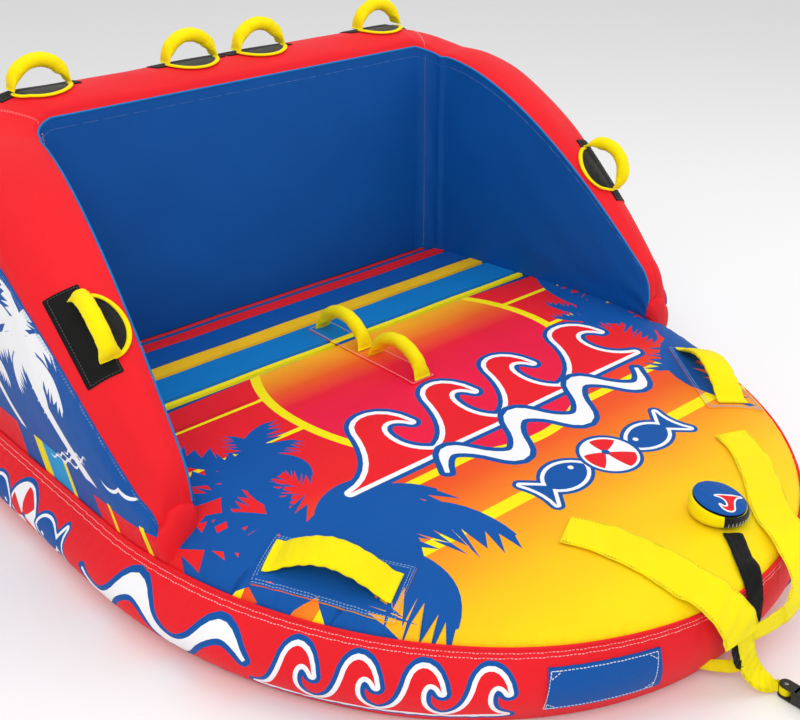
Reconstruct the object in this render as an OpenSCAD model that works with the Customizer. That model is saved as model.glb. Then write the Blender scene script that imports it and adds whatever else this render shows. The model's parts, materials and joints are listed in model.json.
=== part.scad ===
// Two-rider towable tube with a wraparound backrest.
// Millimetres. +Z up, the tow point faces -Y, the backrest is at +Y,
// and the origin is under the middle of the tube, on the water side.

/* [Deck] */
// Width between the deck's top seams
deck_w = 1470; // [1350:10:1550]
// Length of the rounded nose, from the straight sides to its tip
nose_l = 915; // [850:5:950]
// Height of the top seam above the floor
seam_z = 170; // [150:5:190]
// Rise of the inflated seat above the seam
seat_rise = 80; // [70:5:90]
// Rise of the inflated nose above the seam
nose_rise = 35; // [30:5:45]
// Swell of the side band beyond its seams
side_swell = 50; // [35:5:55]

/* [Backrest] */
// Height of the inner seam at the back
back_z = 800; // [760:10:840]
// Swell of the rim above its inner seam, along the back
rim_crown = 35; // [25:5:40]
// Inside width of the seat at the back
seat_w = 1096; // [1060:4:1120]
// Drop from the rim's inner seam to its outer seam
rim_drop = 75; // [65:5:85]

/* [Cover] */
// Thickness of the fabric cover
cover_t = 3; // [2:0.5:3]
// Wall of the air bladders
air_t = 2; // [1.5:0.5:3]
// Clearance between a bladder and its cover
slack = 0.1; // [0.05:0.05:0.5]

/* [Handles] */
// Radius of the arched rim grips, to the tube's middle
grip_r = 66; // [62:1:70]
// Diameter of the padded tube
grip_d = 34; // [30:1:36]
// Distance of the inner pair of back handles from the middle
handle_in_x = 97; // [95:1:110]
// Distance of the outer pair of back handles from the middle
handle_out_x = 468; // [440:2:470]
// Width of the flat padded deck handles
flat_w = 62; // [50:2:66]

/* [Towing] */
// Width of the wide tow straps
strap_w = 92; // [80:2:96]
// Radius of the tow rope's eye
eye_r = 10; // [8:0.5:11]

/* [Hidden] */
$fn = 64;
yw = 175;               // where the sides are straight and the nose begins
arm_y = -8;             // front end of the arms
wall_y = 679;           // inner face of the back
rear_y = 915;           // rear top seam
hub = [0, 330];         // middle of the seat
rear_r = 200;           // outer corner radius of the plan
inner_r = 45;           // inner corner radius of the plan
flare = 0.15;           // how fast the arms spread towards the nose
pillow_r = 150;         // width of the rounded edge of the deck
ledge = 75;             // first ring of the deck, along the nose
gap = 4;                // clearance under the backrest
base_t = 3;             // thickness of the bottom cover
half_w = deck_w / 2;
nf = 13;                // stations along one side of the nose
nm = 8;                 // steps along one arm's slope
edge_u = [0, 0.2, 0.45, 0.7, 1];
top_f = [0.12, 0.3, 0.5, 0.7, 0.88];
band_v = [0, 0.12, 0.3, 0.5, 0.7, 0.88, 1];

// ---- curves and the plan of the tube ----
function mix(p, q, t) = p + (q - p) * t;
function ease(t) = let (c = max(0, min(1, t))) c * c * (3 - 2 * c);
function unit(v) = v / norm(v);
function bez2(p, q, r, t) = mix(mix(p, q, t), mix(q, r, t), t);
function bez3(p, q, r, s, t) = mix(bez2(p, q, r, t), bez2(q, r, s, t), t);

function side_x(y) = y < yw ? half_w * sqrt(1 - pow((y - yw) / nose_l, 2)) : half_w;
function arm_x(y) = seat_w / 2 + flare * (wall_y - y);

// A station is [outer plan point, inner plan point, rim height, crown].
nose_end = acos((yw - arm_y) / nose_l);
nose_stations = [for (k = [0:nf - 1]) let (
    t = nose_end * k / nf,
    a = [half_w * sin(t), yw - nose_l * cos(t)]
) [a, a + unit(hub - a) * ledge, 0, 0]];

arm_profile = concat(
    [for (t = [0, 0.4, 0.75]) bez2([arm_y, 270], [arm_y, 335], [28, 366], t)],
    [for (k = [0:nm]) bez3([28, 366], [270, 630], [470, 760], [620, 775], k / nm)]
);
arm_crown = 10;
arm_stations = [for (p = arm_profile) [[side_x(p.x), p.x], [arm_x(p.x), p.x], p.y, arm_crown]];

inner_c = [seat_w / 2 - inner_r, wall_y - inner_r];
outer_c = [half_w - rear_r, rear_y - rear_r];
corner_stations = [for (k = [0:5]) let (w = 18 * k) [
    outer_c + rear_r * [cos(w), sin(w)],
    inner_c + inner_r * [cos(w), sin(w)],
    mix(775, back_z, k / 5), mix(arm_crown, rim_crown, k / 5)
]];
back_stations = [for (k = [3:-1:0]) [
    [outer_c.x * k / 4, rear_y], [inner_c.x * k / 4, wall_y], back_z, rim_crown
]];
right_half = concat(nose_stations, arm_stations, corner_stations, back_stations);
last = len(right_half) - 1;
function flip(s) = [[-s[0].x, s[0].y], [-s[1].x, s[1].y], s[2], s[3]];
plan = concat(right_half, [for (i = [last - 1:-1:1]) flip(right_half[i])]);
n = len(plan);
first_arm = nf;                                   // station at the right arm's front end
last_arm = n - nf;                                // station at the left arm's front end
corner_r = nf + len(arm_stations) + 3;            // where the right corner is sewn
corner_l = n - corner_r;                          // where the left corner is sewn

function outward(i) = let (d = plan[(i + 1) % n][0] - plan[(i + n - 1) % n][0]) unit([d.y, -d.x]);

// ---- the inflated deck ----
function rise(y) = mix(nose_rise, seat_rise, ease((y + 450) / 600));
function pillow(d) = d >= pillow_r ? 1 : sqrt(max(0, 1 - pow(1 - d / pillow_r, 2)));
function deck_h(y, d) = seam_z + rise(y) * pillow(d);
function reach(i) = norm(plan[i][1] - plan[i][0]);
function edge_pt(i, u) = let (p = mix(plan[i][0], plan[i][1], u)) [p.x, p.y, deck_h(p.y, reach(i) * u)];
function inner_pt(i, f) = let (
    p = mix(plan[i][1], hub, f),
    d = reach(i) + norm(hub - plan[i][1]) * f
) [p.x, p.y, deck_h(p.y, d)];
function top_row(i) = concat([for (u = edge_u) edge_pt(i, u)], [for (f = top_f) inner_pt(i, f)]);
function sunk(row, d) = [for (p = row) p - [0, 0, d]];
function backward(row) = [for (k = [len(row) - 1:-1:0]) row[k]];

// The side band narrows and tucks under towards the nose.
function nose_k(i) = let (k = min(i, n - i)) ease(k / nf);
function foot(i) = mix(-30, 8, nose_k(i));
function band_o(i, v) = foot(i) * v + mix(0.45, 1, nose_k(i)) * side_swell * sin(180 * v);
function band_pt(i, v, t) = let (o = outward(i) * (band_o(i, v) + t), a = plan[i][0])
    [a.x + o.x, a.y + o.y, mix(seam_z - cover_t, base_t, v)];

// Height of the deck's skin at any point of the nose.
function nose_z(x, y) = let (
    q = norm([x / half_w, (y - yw) / nose_l]),
    r = norm([x, y - yw])
) deck_h(y, r / q - r);

// ---- the backrest's section ----
function lower_z(i, s) = lookup(s, [for (u = edge_u) [u * reach(i), edge_pt(i, u).z]]) + gap;
function skin_2d(i) = let (
    w = reach(i),
    zi = plan[i][2],
    cr = plan[i][3],
    k = max(0.35, min(1, (zi - 230) / 140)),
    zo = zi - rim_drop * k,
    so = -min(30, 0.075 * (zo - seam_z)),
    zb = lower_z(i, w)
) [
    [0, lower_z(i, 0)],
    [so * 0.5 - 8, mix(seam_z, zo, 0.35)],
    [so * 0.85 - 8, mix(seam_z, zo, 0.7)],
    [so, zo],
    [so + 12, zi - 40 * k],
    [mix(so, w, 0.3), zi + cr - 18 * k],
    [mix(so, w, 0.62), zi + cr],
    [w - 22, zi + 4 + cr * 0.5],
    [w - 2, zi],
    [w + 4, mix(zb, zi, 0.6)],
    [w + 4, mix(zb, zi, 0.25)],
    [w, zb]
];
function inset_2d(i, t = cover_t) = let (p = skin_2d(i), m = len(p) - 1, w = reach(i), up = t - cover_t)
    [for (j = [0:m])
        j == 0 ? [t, lower_z(i, t) + up]
        : j == m ? [w - t, lower_z(i, w - t) + up]
        : let (d = unit(p[j + 1] - p[j - 1])) p[j] + t * [d.y, -d.x]];
function lower_2d(i, up = 0) = [for (u = [0.7, 0.45, 0.2]) [u * reach(i), lower_z(i, u * reach(i)) + up]];
function place(i, s) = let (a = plan[i][0], e = unit(plan[i][1] - a)) [a.x + e.x * s.x, a.y + e.y * s.x, s.y];
function strip_row(i, j0, j1) = let (p = skin_2d(i), q = inset_2d(i)) concat(
    [for (j = [j0:j1]) place(i, q[j])],
    [for (j = [j1:-1:j0]) place(i, p[j])]
);

// ---- meshes from rows of points ----
// Each quad is split along its shorter diagonal, so touching surfaces are split alike.
function halves(pts, a, b, c, d) = norm(pts[a] - pts[c]) < norm(pts[b] - pts[d]) + 0.001
    ? [[a, b, c], [a, c, d]] : [[a, b, d], [b, c, d]];

// wrap_r closes the last row onto the first. Otherwise each end row is closed by rungs
// between its first half and its second half, which run opposite ways.
// wrap_c closes each row into a ring. Otherwise the end columns are capped.
module loft(rows, wrap_r, wrap_c) {
    nr = len(rows);
    nc = len(rows[0]);
    pts = [for (r = rows) each r];
    function at(r, c) = (r % nr) * nc + (c % nc);
    quads = [for (r = [0:nr - (wrap_r ? 1 : 2)], c = [0:nc - (wrap_c ? 1 : 2)])
        each halves(pts, at(r, c), at(r + 1, c), at(r + 1, c + 1), at(r, c + 1))];
    row_caps = wrap_r ? [] : [for (c = [0:nc / 2 - 2]) each concat(
        halves(pts, at(0, c), at(0, c + 1), at(0, nc - 2 - c), at(0, nc - 1 - c)),
        halves(pts, at(nr - 1, nc - 1 - c), at(nr - 1, nc - 2 - c), at(nr - 1, c + 1), at(nr - 1, c))
    )];
    col_caps = wrap_c ? [] : [[for (r = [nr - 1:-1:0]) at(r, 0)], [for (r = [0:nr - 1]) at(r, nc - 1)]];
    polyhedron(points = pts, faces = concat(quads, row_caps, col_caps), convexity = 8);
}

// A strip of the backrest's skin between two stations and two seams.
module skin_strip(i0, i1, j0, j1) {
    loft([for (i = [i0:i1]) strip_row(i, j0, j1)], false, true);
}

// A piece of fabric that lies on the deck between two stations and two rings.
module deck_piece(i0, i1, c0, c1, lift, thick) {
    rows = [for (i = [i0:i1]) let (r = [for (c = [c0:c1]) top_row(i)[c]])
        concat(sunk(r, -lift), backward(sunk(r, -lift - thick)))];
    loft(rows, false, true);
}

// ---- deck ----
// The bladders are hollow: the second loft is the air inside.
function tail_of(row) = [for (k = [1:len(row) - 1]) row[k]];
function lower_band(i, t, up) = [for (v = tail_of(band_v)) band_pt(i, v, t) + [0, 0, up * v]];
module deck_bladder() {
    color("dimgray") difference() {
        loft([for (i = [0:n - 1]) concat(
            backward(sunk(top_row(i), cover_t + slack)), lower_band(i, -slack, slack)
        )], true, false);
        loft([for (i = [0:n - 1]) concat(
            backward(sunk(tail_of(top_row(i)), cover_t + air_t)), lower_band(i, -air_t, air_t)
        )], true, false);
        deck_socket();
    }
}

module deck_top_cover() {
    color("orange") difference() {
        loft([for (i = [0:n - 1]) concat(
            backward(top_row(i)), sunk(top_row(i), cover_t)
        )], true, false);
        deck_socket();
    }
}

module deck_side_band() {
    color("red") loft([for (i = [0:n - 1]) concat(
        [for (v = band_v) band_pt(i, v, cover_t)],
        backward([for (v = band_v) band_pt(i, v, 0)])
    )], true, true);
}

module deck_bottom_cover() {
    color("red") linear_extrude(base_t) polygon([for (i = [0:n - 1])
        plan[i][0] + outward(i) * (foot(i) + cover_t)]);
}

module deck_seam_tape() {
    color("crimson") loft([for (i = [0:n - 1]) let (a = plan[i][0], o = outward(i) * cover_t) [
        [a.x, a.y, seam_z - cover_t], [a.x, a.y, seam_z],
        [a.x + o.x, a.y + o.y, seam_z], [a.x + o.x, a.y + o.y, seam_z - cover_t]
    ]], true, true);
}

// ---- backrest ----
// A hollow tube along the arms and the back. Its ends meet the arms' end plates.
module backrest_bladder() {
    stations = [first_arm:last_arm];
    skins = [for (t = [cover_t + slack, cover_t + air_t]) [for (i = stations) [
        for (s = backward(concat(inset_2d(i, t), lower_2d(i, t - cover_t)))) place(i, s)
    ]]];
    nr = len(skins[0]);
    nc = len(skins[0][0]);
    pts = [for (skin = skins) each [for (r = skin) each r]];
    function at(k, r, c) = k * nr * nc + r * nc + c % nc;
    color("dimgray") polyhedron(points = pts, faces = concat(
        [for (r = [0:nr - 2], c = [0:nc - 1])
            each halves(pts, at(0, r, c), at(0, r + 1, c), at(0, r + 1, c + 1), at(0, r, c + 1))],
        [for (r = [0:nr - 2], c = [0:nc - 1])
            each halves(pts, at(1, r, c + 1), at(1, r + 1, c + 1), at(1, r + 1, c), at(1, r, c))],
        [for (c = [0:nc - 1]) [at(0, 0, c), at(0, 0, c + 1), at(1, 0, c + 1), at(1, 0, c)]],
        [for (c = [0:nc - 1]) [at(1, nr - 1, c), at(1, nr - 1, c + 1), at(0, nr - 1, c + 1), at(0, nr - 1, c)]]
    ), convexity = 10);
}

module inner_back_panel() { color("royalblue") skin_strip(corner_r, corner_l, 8, 11); }
module inner_arm_panel_right() { color("royalblue") skin_strip(first_arm, corner_r, 8, 11); }
module inner_arm_panel_left() { color("royalblue") skin_strip(corner_l, last_arm, 8, 11); }
module rim_band_back() { color("red") skin_strip(corner_r, corner_l, 3, 8); }
module outer_arm_panel_right() { color("blue") skin_strip(first_arm, corner_r, 0, 3); }
module outer_arm_panel_left() { color("blue") skin_strip(corner_l, last_arm, 0, 3); }
module rear_panel() {
    color("blue") difference() {
        skin_strip(corner_r, corner_l, 0, 3);
        back_socket();
    }
}

// Each arm's band also closes the arm's front end with a plate.
module rim_band_right() {
    rows = [for (i = [first_arm:corner_r]) strip_row(i, 3, 8)];
    nr = len(rows);
    nc = len(rows[0]);
    outline = [for (s = concat(skin_2d(first_arm), lower_2d(first_arm))) place(first_arm, s)];
    m = len(outline);
    // Both faces of the plate are fans about a point that sees their whole edge.
    s_mid = 0.2 * reach(first_arm);
    middle = place(first_arm, [s_mid, (lower_z(first_arm, s_mid) + plan[first_arm][2]) / 2]);
    pts = concat([for (r = rows) each r], [for (p = outline) p - [0, cover_t, 0]], outline,
        [middle - [0, cover_t, 0], middle]);
    function front(j) = nr * nc + (j + m) % m;
    // Behind the plate, outline points 3 to 8 are the first row of the band's outside.
    function back(j) = let (k = (j + m) % m) k > 2 && k < 9 ? nc + 2 - k : nr * nc + m + k;
    front_mid = nr * nc + 2 * m;
    behind = concat([for (j = [0:3]) back(j)], [for (c = [0:5]) c], [for (j = [8:m - 1]) back(j)]);
    color("red") polyhedron(points = pts, faces = concat(
        [for (r = [0:nr - 2], c = [0:nc - 1]) let (d = (c + 1) % nc)
            each halves(pts, r * nc + c, (r + 1) * nc + c, (r + 1) * nc + d, r * nc + d)],
        [for (c = [0:nc / 2 - 2]) let (e = (nr - 1) * nc)
            each halves(pts, e + nc - 1 - c, e + nc - 2 - c, e + c + 1, e + c)],
        [for (j = [0:m - 1]) [front(j + 1), front(j), front_mid]],
        [for (j = [0:len(behind) - 1]) [behind[j], behind[(j + 1) % len(behind)], front_mid + 1]],
        [for (j = [0:m - 1]) [front(j), back(j), back(j - 1), front(j - 1)]]
    ), convexity = 10);
}
module rim_band_left() { mirror([1, 0, 0]) rim_band_right(); }

// ---- rim handles ----
// Frame of a rim handle: X along the base line, -Y towards the seat, Z off the rim.
pin_h = 6;              // height of the hinge line over the rim
tab_h = 12;             // height of the sewn legs
grip_half = 70;         // half of the angle that a rim grip bends through
patch_size = [186, 52, 2];
guard_size = [74, 62, 3];
guard_tilt = 12;
grip_tube = grip_d / 2;

// A padded tube bent over an arc, standing on two sewn tabs.
module arch(r, half, tube, leg_h) {
    foot_x = r * sin(half);
    translate([0, 0, leg_h - r * cos(half)]) rotate([90, -90 + half, 0])
        rotate_extrude(angle = 2 * half) translate([r, 0]) circle(tube, $fn = 32);
    for (s = [-1, 1]) translate([s * foot_x, 0, leg_h / 2]) cube([1.4 * tube, 4, leg_h + 2], center = true);
}
module rim_grip() { color("yellow") translate([0, 0, pin_h]) arch(grip_r, grip_half, grip_tube, tab_h); }
module rim_patch() {
    color("black") translate([0, 4, 2]) cube(patch_size, center = true);
}
module rim_guard() {
    color("black") translate([0, -24, 0.5]) rotate([guard_tilt, 0, 0]) linear_extrude(guard_size.z)
        intersection() {
            resize([2 * guard_size.x, 2 * guard_size.y]) circle(guard_size.x);
            translate([-guard_size.x, -guard_size.y]) square([2 * guard_size.x, guard_size.y]);
        }
}

crown_y = 790;
crown_z = back_z + rim_crown;
module on_back(x) { translate([x, crown_y, crown_z]) children(); }

// The arm handles follow the arm's slope and lean outwards with the band.
grip_y = 207;
grip_slope = 41;
grip_lean = 17;
arm_grip_x = 694;
arm_grip_z = 551;
module on_right_arm() {
    translate([arm_grip_x, grip_y, arm_grip_z]) rotate([grip_slope, 0, 0]) rotate([0, 0, -90])
        rotate([-grip_lean, 0, 0]) children();
}
module on_left_arm() { mirror([1, 0, 0]) on_right_arm() children(); }

module back_handle_1_grip() { on_back(-handle_out_x) rim_grip(); }
module back_handle_1_patch() { on_back(-handle_out_x) rim_patch(); }
module back_handle_1_guard() { on_back(-handle_out_x) rim_guard(); }
module back_handle_2_grip() { on_back(-handle_in_x) rim_grip(); }
module back_handle_2_patch() { on_back(-handle_in_x) rim_patch(); }
module back_handle_2_guard() { on_back(-handle_in_x) rim_guard(); }
module back_handle_3_grip() { on_back(handle_in_x) rim_grip(); }
module back_handle_3_patch() { on_back(handle_in_x) rim_patch(); }
module back_handle_3_guard() { on_back(handle_in_x) rim_guard(); }
module back_handle_4_grip() { on_back(handle_out_x) rim_grip(); }
module back_handle_4_patch() { on_back(handle_out_x) rim_patch(); }
module back_handle_4_guard() { on_back(handle_out_x) rim_guard(); }
module arm_handle_left_grip() { on_left_arm() rim_grip(); }
module arm_handle_left_patch() { on_left_arm() rim_patch(); }
module arm_handle_left_guard() { on_left_arm() rim_guard(); }
module arm_handle_right_grip() { on_right_arm() rim_grip(); }
module arm_handle_right_patch() { on_right_arm() rim_patch(); }
module arm_handle_right_guard() { on_right_arm() rim_guard(); }

// ---- double handle on the seat ----
seat_z = seam_z + seat_rise;
seat_grip_r = 84;
seat_half = 65;         // half of the angle that a seat grip bends through
seat_tube = 16;
seat_rear_y = 366;      // middle of the rear arch
seat_front_y = 174;     // middle of the front arch
seat_leg = 12;
seat_pin = 5;           // height of the hinge line over the seat
module seat_handle_base() {
    color("crimson") translate([-30, 90, seat_z + 0.5]) cube([60, 372, 2]);
}
module seat_arch(y) {
    translate([0, y, seat_z + seat_pin]) rotate([0, 0, 90]) arch(seat_grip_r, seat_half, seat_tube, seat_leg);
}
module seat_handle_rear_grip() { color("yellow") seat_arch(seat_rear_y); }
module seat_handle_front_grip() { color("yellow") seat_arch(seat_front_y); }

// ---- flat padded handles on the deck ----
flat_chord = 250;
flat_bow = 26;
flat_t = 8;
flat_pos = [548, -256];
flat_turn = 24;
flat_z = 226;
module flat_handle() {
    r = (pow(flat_chord / 2, 2) + pow(flat_bow, 2)) / (2 * flat_bow);
    half = asin(flat_chord / 2 / r);
    translate([flat_pos.x, flat_pos.y, flat_z]) rotate([0, 10, 0]) rotate([5, 0, -flat_turn])
        translate([0, 0, flat_bow - r]) rotate([0, -90, 0])
            rotate([0, 0, -half]) rotate_extrude(angle = 2 * half, $fn = 128)
                translate([r, -flat_w / 2]) square([flat_t, flat_w]);
}
module deck_handle_right() { color("yellow") flat_handle(); }
module deck_handle_left() { color("yellow") mirror([1, 0, 0]) flat_handle(); }
module deck_handle_patch_right() { color("darkorange") deck_piece(8, 12, 1, 5, 1, 1.5); }
module deck_handle_patch_left() { color("darkorange") deck_piece(n - 12, n - 8, 1, 5, 1, 1.5); }

// ---- valves ----
valve_x = 110;
valve_y = -600;
valve_z = seam_z + nose_rise;
socket_r = 24.5;
valve_r = 24;
valve_neck = 7;
cap_r = 19;
cap_h = 6;
module valve_body(depth) {
    color("black") difference() {
        union() {
            translate([0, 0, -depth]) cylinder(r = valve_r, h = depth + 1.5);
            translate([0, 0, 1]) cylinder(r = 32, h = 2);
            cylinder(r = 15, h = valve_neck);
        }
        translate([0, 0, -30]) cylinder(r = 11, h = 60);
    }
}
module valve_seal() {
    color("white") translate([0, 0, valve_neck]) difference() {
        cylinder(r = 15, h = 1.5);
        translate([0, 0, -1]) cylinder(r = 11, h = 4);
    }
}
module valve_cap() {
    color("black") translate([0, 0, valve_neck + 1.5]) difference() {
        cylinder(r = cap_r, h = cap_h);
        for (s = [-1, 1]) translate([s * 11, 0, cap_h - 1.5]) cube([10, 26, 5], center = true);
    }
}
module deck_socket() { translate([valve_x, valve_y, valve_z - 30]) cylinder(r = socket_r, h = 60); }
module on_deck_valve() { translate([valve_x, valve_y, valve_z + 1]) children(); }
module deck_valve_body() { on_deck_valve() valve_body(24); }
module deck_valve_seal() { on_deck_valve() valve_seal(); }
module deck_valve_cap() { on_deck_valve() valve_cap(); }

// A domed pocket with a bound edge covers the deck's valve.
dome_r = 65;
dome_h = 26;
dome_t = 3;
dome_rim = sqrt(dome_r * dome_r - (dome_r - dome_h) * (dome_r - dome_h));
module dome_part(grow) {
    intersection() {
        translate([0, 0, dome_h - dome_r]) sphere(dome_r - grow, $fn = 96);
        translate([-100, -100, 0]) cube([200, 200, 100]);
    }
}
module deck_valve_cover() {
    color("blue") on_deck_valve() translate([0, 0, 4]) {
        difference() {
            dome_part(0);
            translate([0, 0, -0.01]) dome_part(dome_t);
        }
        difference() {
            cylinder(r = dome_rim + 4, h = 4, $fn = 96);
            translate([0, 0, -1]) cylinder(r = dome_rim - 3, h = 10, $fn = 96);
        }
    }
}

// The backrest's valve looks backwards, square to the leaning lower part of the rear panel.
back_valve_x = 300;
rear_low = skin_2d(last)[0];
rear_high = skin_2d(last)[1];
rear_lean = atan2(rear_low.x - rear_high.x, rear_high.y - rear_low.y);
module on_rear(x, f) {
    s = mix(rear_low, rear_high, f);
    translate([x, rear_y - s.x, s.y]) rotate([-90 - rear_lean, 0, 0]) children();
}
module on_back_valve() { on_rear(back_valve_x, 0.75) translate([0, 0, 1]) children(); }
module back_socket() { on_back_valve() cylinder(r = socket_r, h = 20, center = true); }
module back_valve_body() { on_back_valve() valve_body(2.5); }
module back_valve_seal() { on_back_valve() valve_seal(); }
module back_valve_cap() { on_back_valve() valve_cap(); }

// ---- panels and straps sewn to the skin ----
module band_piece(i0, i1, v0, v1) {
    rows = [for (i = [i0:i1]) concat(
        [for (k = [v0:v1]) band_pt(i, band_v[k], cover_t + 2)],
        [for (k = [v1:-1:v0]) band_pt(i, band_v[k], cover_t + 0.5)]
    )];
    loft(rows, false, true);
}
module side_patch_right() { color("blue") band_piece(3, 6, 1, 4); }
module side_patch_left() { color("blue") band_piece(n - 6, n - 3, 1, 4); }

// A flat strap along hand-set middle points, each with its width direction.
module strap(points, dirs, widths, lift, thick) {
    m = len(points) - 1;
    function along(k) = unit(points[min(k + 1, m)] - points[max(k - 1, 0)]);
    rows = [for (k = [0:m]) let (
        d = unit(dirs[k]),
        u = unit(cross(along(k), d)),
        a = points[k] - d * widths[k] / 2,
        b = points[k] + d * widths[k] / 2
    ) [a + u * lift, b + u * lift, b + u * (lift + thick), a + u * (lift + thick)]];
    loft(rows, false, true);
}
function on_deck(x, y) = [x, y, nose_z(x, y)];
tow_t = 3;

module tow_strap_left() {
    color("yellow") strap(
        [on_deck(-145, -450), on_deck(-119, -507), on_deck(-104, -578), on_deck(-95, -645),
            [-84, -698, 197], [-72, -736, 186], [-58, -762, 156], [-44, -770, 116], [-33, -775, 64]],
        [[1, 0.5, 0], [1, 0.35, 0], [1, 0.3, 0], [1, 0.3, 0],
            [1, 0.3, 0.05], [1, 0.2, 0.05], [1, 0.1, 0], [1, 0.05, 0], [1, 0, 0]],
        strap_w * [0.92, 1, 1, 1.1, 1.12, 1.05, 0.9, 0.75, 0.6], 4, tow_t);
}
module tow_strap_right() {
    color("yellow") strap(
        [on_deck(371, -448), on_deck(338, -512), on_deck(275, -590), on_deck(206, -656),
            [138, -712, 190], [84, -750, 167], [44, -772, 126], [33, -776, 64]],
        [[0.9, -0.4, 0], [0.8, -0.6, 0], [0.7, -0.7, 0], [0.65, -0.75, -0.1],
            [0.75, -0.6, -0.2], [0.9, -0.35, -0.2], [1, -0.05, 0], [1, 0, 0]],
        strap_w * [0.8, 0.8, 0.75, 0.75, 0.75, 0.75, 0.7, 0.6], 4, tow_t);
}
module tow_strap_centre() {
    color("black") strap(
        [on_deck(76, -662), on_deck(52, -690), [30, -714, 194], [14, -736, 180]],
        [[1, 0.8, 0], [1, 0.8, 0], [1, 0.6, 0], [1, 0.3, 0]],
        [36, 36, 32, 26], 2, 1.5);
}
module tow_strap_lower() {
    color("yellow") strap(
        [[-160, -724, 30], [-104, -744, 33], [-58, -764, 38], [-36, -776, 44]],
        [[0, 0.2, 1], [0, 0.2, 1], [0, 0.2, 1], [-0.4, 0, 1]],
        [30, 30, 26, 22], 2, tow_t);
}

// ---- towing tail and connector ----
tail_y = -788;          // hinge line of the tail, under the nose
tail_z = 46;
post_y = -846;
tail_bend = 30;         // from the post to the bend of the tail
post_r = 6;
eye_reach = 109;        // from the post to the middle of the rope's eye
conn_h = 26;
loop_h = 18;
module tow_tail() {
    color("yellow") {
        translate([0, post_y, conn_h / 2]) difference() {
            cylinder(r = post_r + 4, h = loop_h, center = true);
            cylinder(r = post_r + 0.05, h = conn_h, center = true);
        }
        hull() {
            translate([0, post_y + post_r + 5, conn_h / 2]) cube([5, 3, loop_h - 3], center = true);
            translate([0, post_y + tail_bend, conn_h / 2 + 6]) cube([14, 3, 14], center = true);
        }
        hull() {
            translate([0, post_y + tail_bend, conn_h / 2 + 6]) cube([14, 3, 14], center = true);
            translate([0, tail_y - 6, tail_z]) cube([44, 3, 6], center = true);
        }
        translate([0, tail_y, tail_z]) rotate([0, 90, 0]) cylinder(r = 6, h = 50, center = true);
    }
}
module tow_connector() {
    color("black") {
        translate([0, post_y, 0]) cylinder(r = post_r, h = conn_h);
        difference() {
            union() {
                translate([0, post_y - eye_reach, 0]) cylinder(r = eye_r + 13, h = conn_h);
                translate([-13, post_y - eye_reach + 4, 0]) cube([26, eye_reach - 4, conn_h]);
                translate([0, post_y, 0]) cylinder(r = 13, h = conn_h);
            }
            translate([0, post_y - eye_reach, -1]) cylinder(r = eye_r, h = conn_h + 2);
            translate([0, post_y, conn_h / 2]) cylinder(r = 12, h = loop_h + 1, center = true);
            translate([-20, post_y, (conn_h - loop_h - 1) / 2]) cube([40, 20, loop_h + 1]);
        }
    }
}

// ---- zips ----
zip_l = 760;
zip_w = 24;
slider = [14, 10, 3.8];
module zip_tape() { color("black") translate([0, 0, 1]) cube([zip_l, zip_w, 1.6], center = true); }
module zip_slider() {
    color("silver") translate([-zip_l / 2 + 20, 0, 2 + slider.z / 2]) cube(slider, center = true);
}
// The deck's zip lies on the rear side band, the backrest's low on the rear panel.
module on_deck_zip() { translate([0, rear_y + side_swell + 7.2, seam_z - 85]) rotate([-91, 0, 0]) children(); }
module on_back_zip() { on_rear(0, 0.25) children(); }
module deck_zip() { on_deck_zip() zip_tape(); }
module deck_zip_slider() { on_deck_zip() zip_slider(); }
module backrest_zip() { on_back_zip() zip_tape(); }
module backrest_zip_slider() { on_back_zip() zip_slider(); }

deck_bladder();
deck_top_cover();
deck_side_band();
deck_bottom_cover();
deck_seam_tape();
backrest_bladder();
inner_back_panel();
inner_arm_panel_left();
inner_arm_panel_right();
rim_band_left();
rim_band_back();
rim_band_right();
outer_arm_panel_left();
outer_arm_panel_right();
rear_panel();
back_handle_1_grip();
back_handle_1_patch();
back_handle_1_guard();
back_handle_2_grip();
back_handle_2_patch();
back_handle_2_guard();
back_handle_3_grip();
back_handle_3_patch();
back_handle_3_guard();
back_handle_4_grip();
back_handle_4_patch();
back_handle_4_guard();
arm_handle_left_grip();
arm_handle_left_patch();
arm_handle_left_guard();
arm_handle_right_grip();
arm_handle_right_patch();
arm_handle_right_guard();
seat_handle_base();
seat_handle_rear_grip();
seat_handle_front_grip();
deck_handle_left();
deck_handle_right();
deck_handle_patch_left();
deck_handle_patch_right();
deck_valve_body();
deck_valve_seal();
deck_valve_cap();
deck_valve_cover();
back_valve_body();
back_valve_seal();
back_valve_cap();
side_patch_left();
side_patch_right();
tow_strap_left();
tow_strap_right();
tow_strap_centre();
tow_strap_lower();
tow_tail();
tow_connector();
deck_zip();
deck_zip_slider();
backrest_zip();
backrest_zip_slider();
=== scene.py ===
"""Looks for the towable tube: printed covers, padded handles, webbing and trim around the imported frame.

Metres, +Z up, the tow point faces -Y, and x = 0 is the middle. Surfaces follow the same formulas as the CAD part.
"""
import json
import math

import bpy
import numpy as np
from mathutils import Matrix, Vector, geometry
from mathutils.bvhtree import BVHTree

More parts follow.
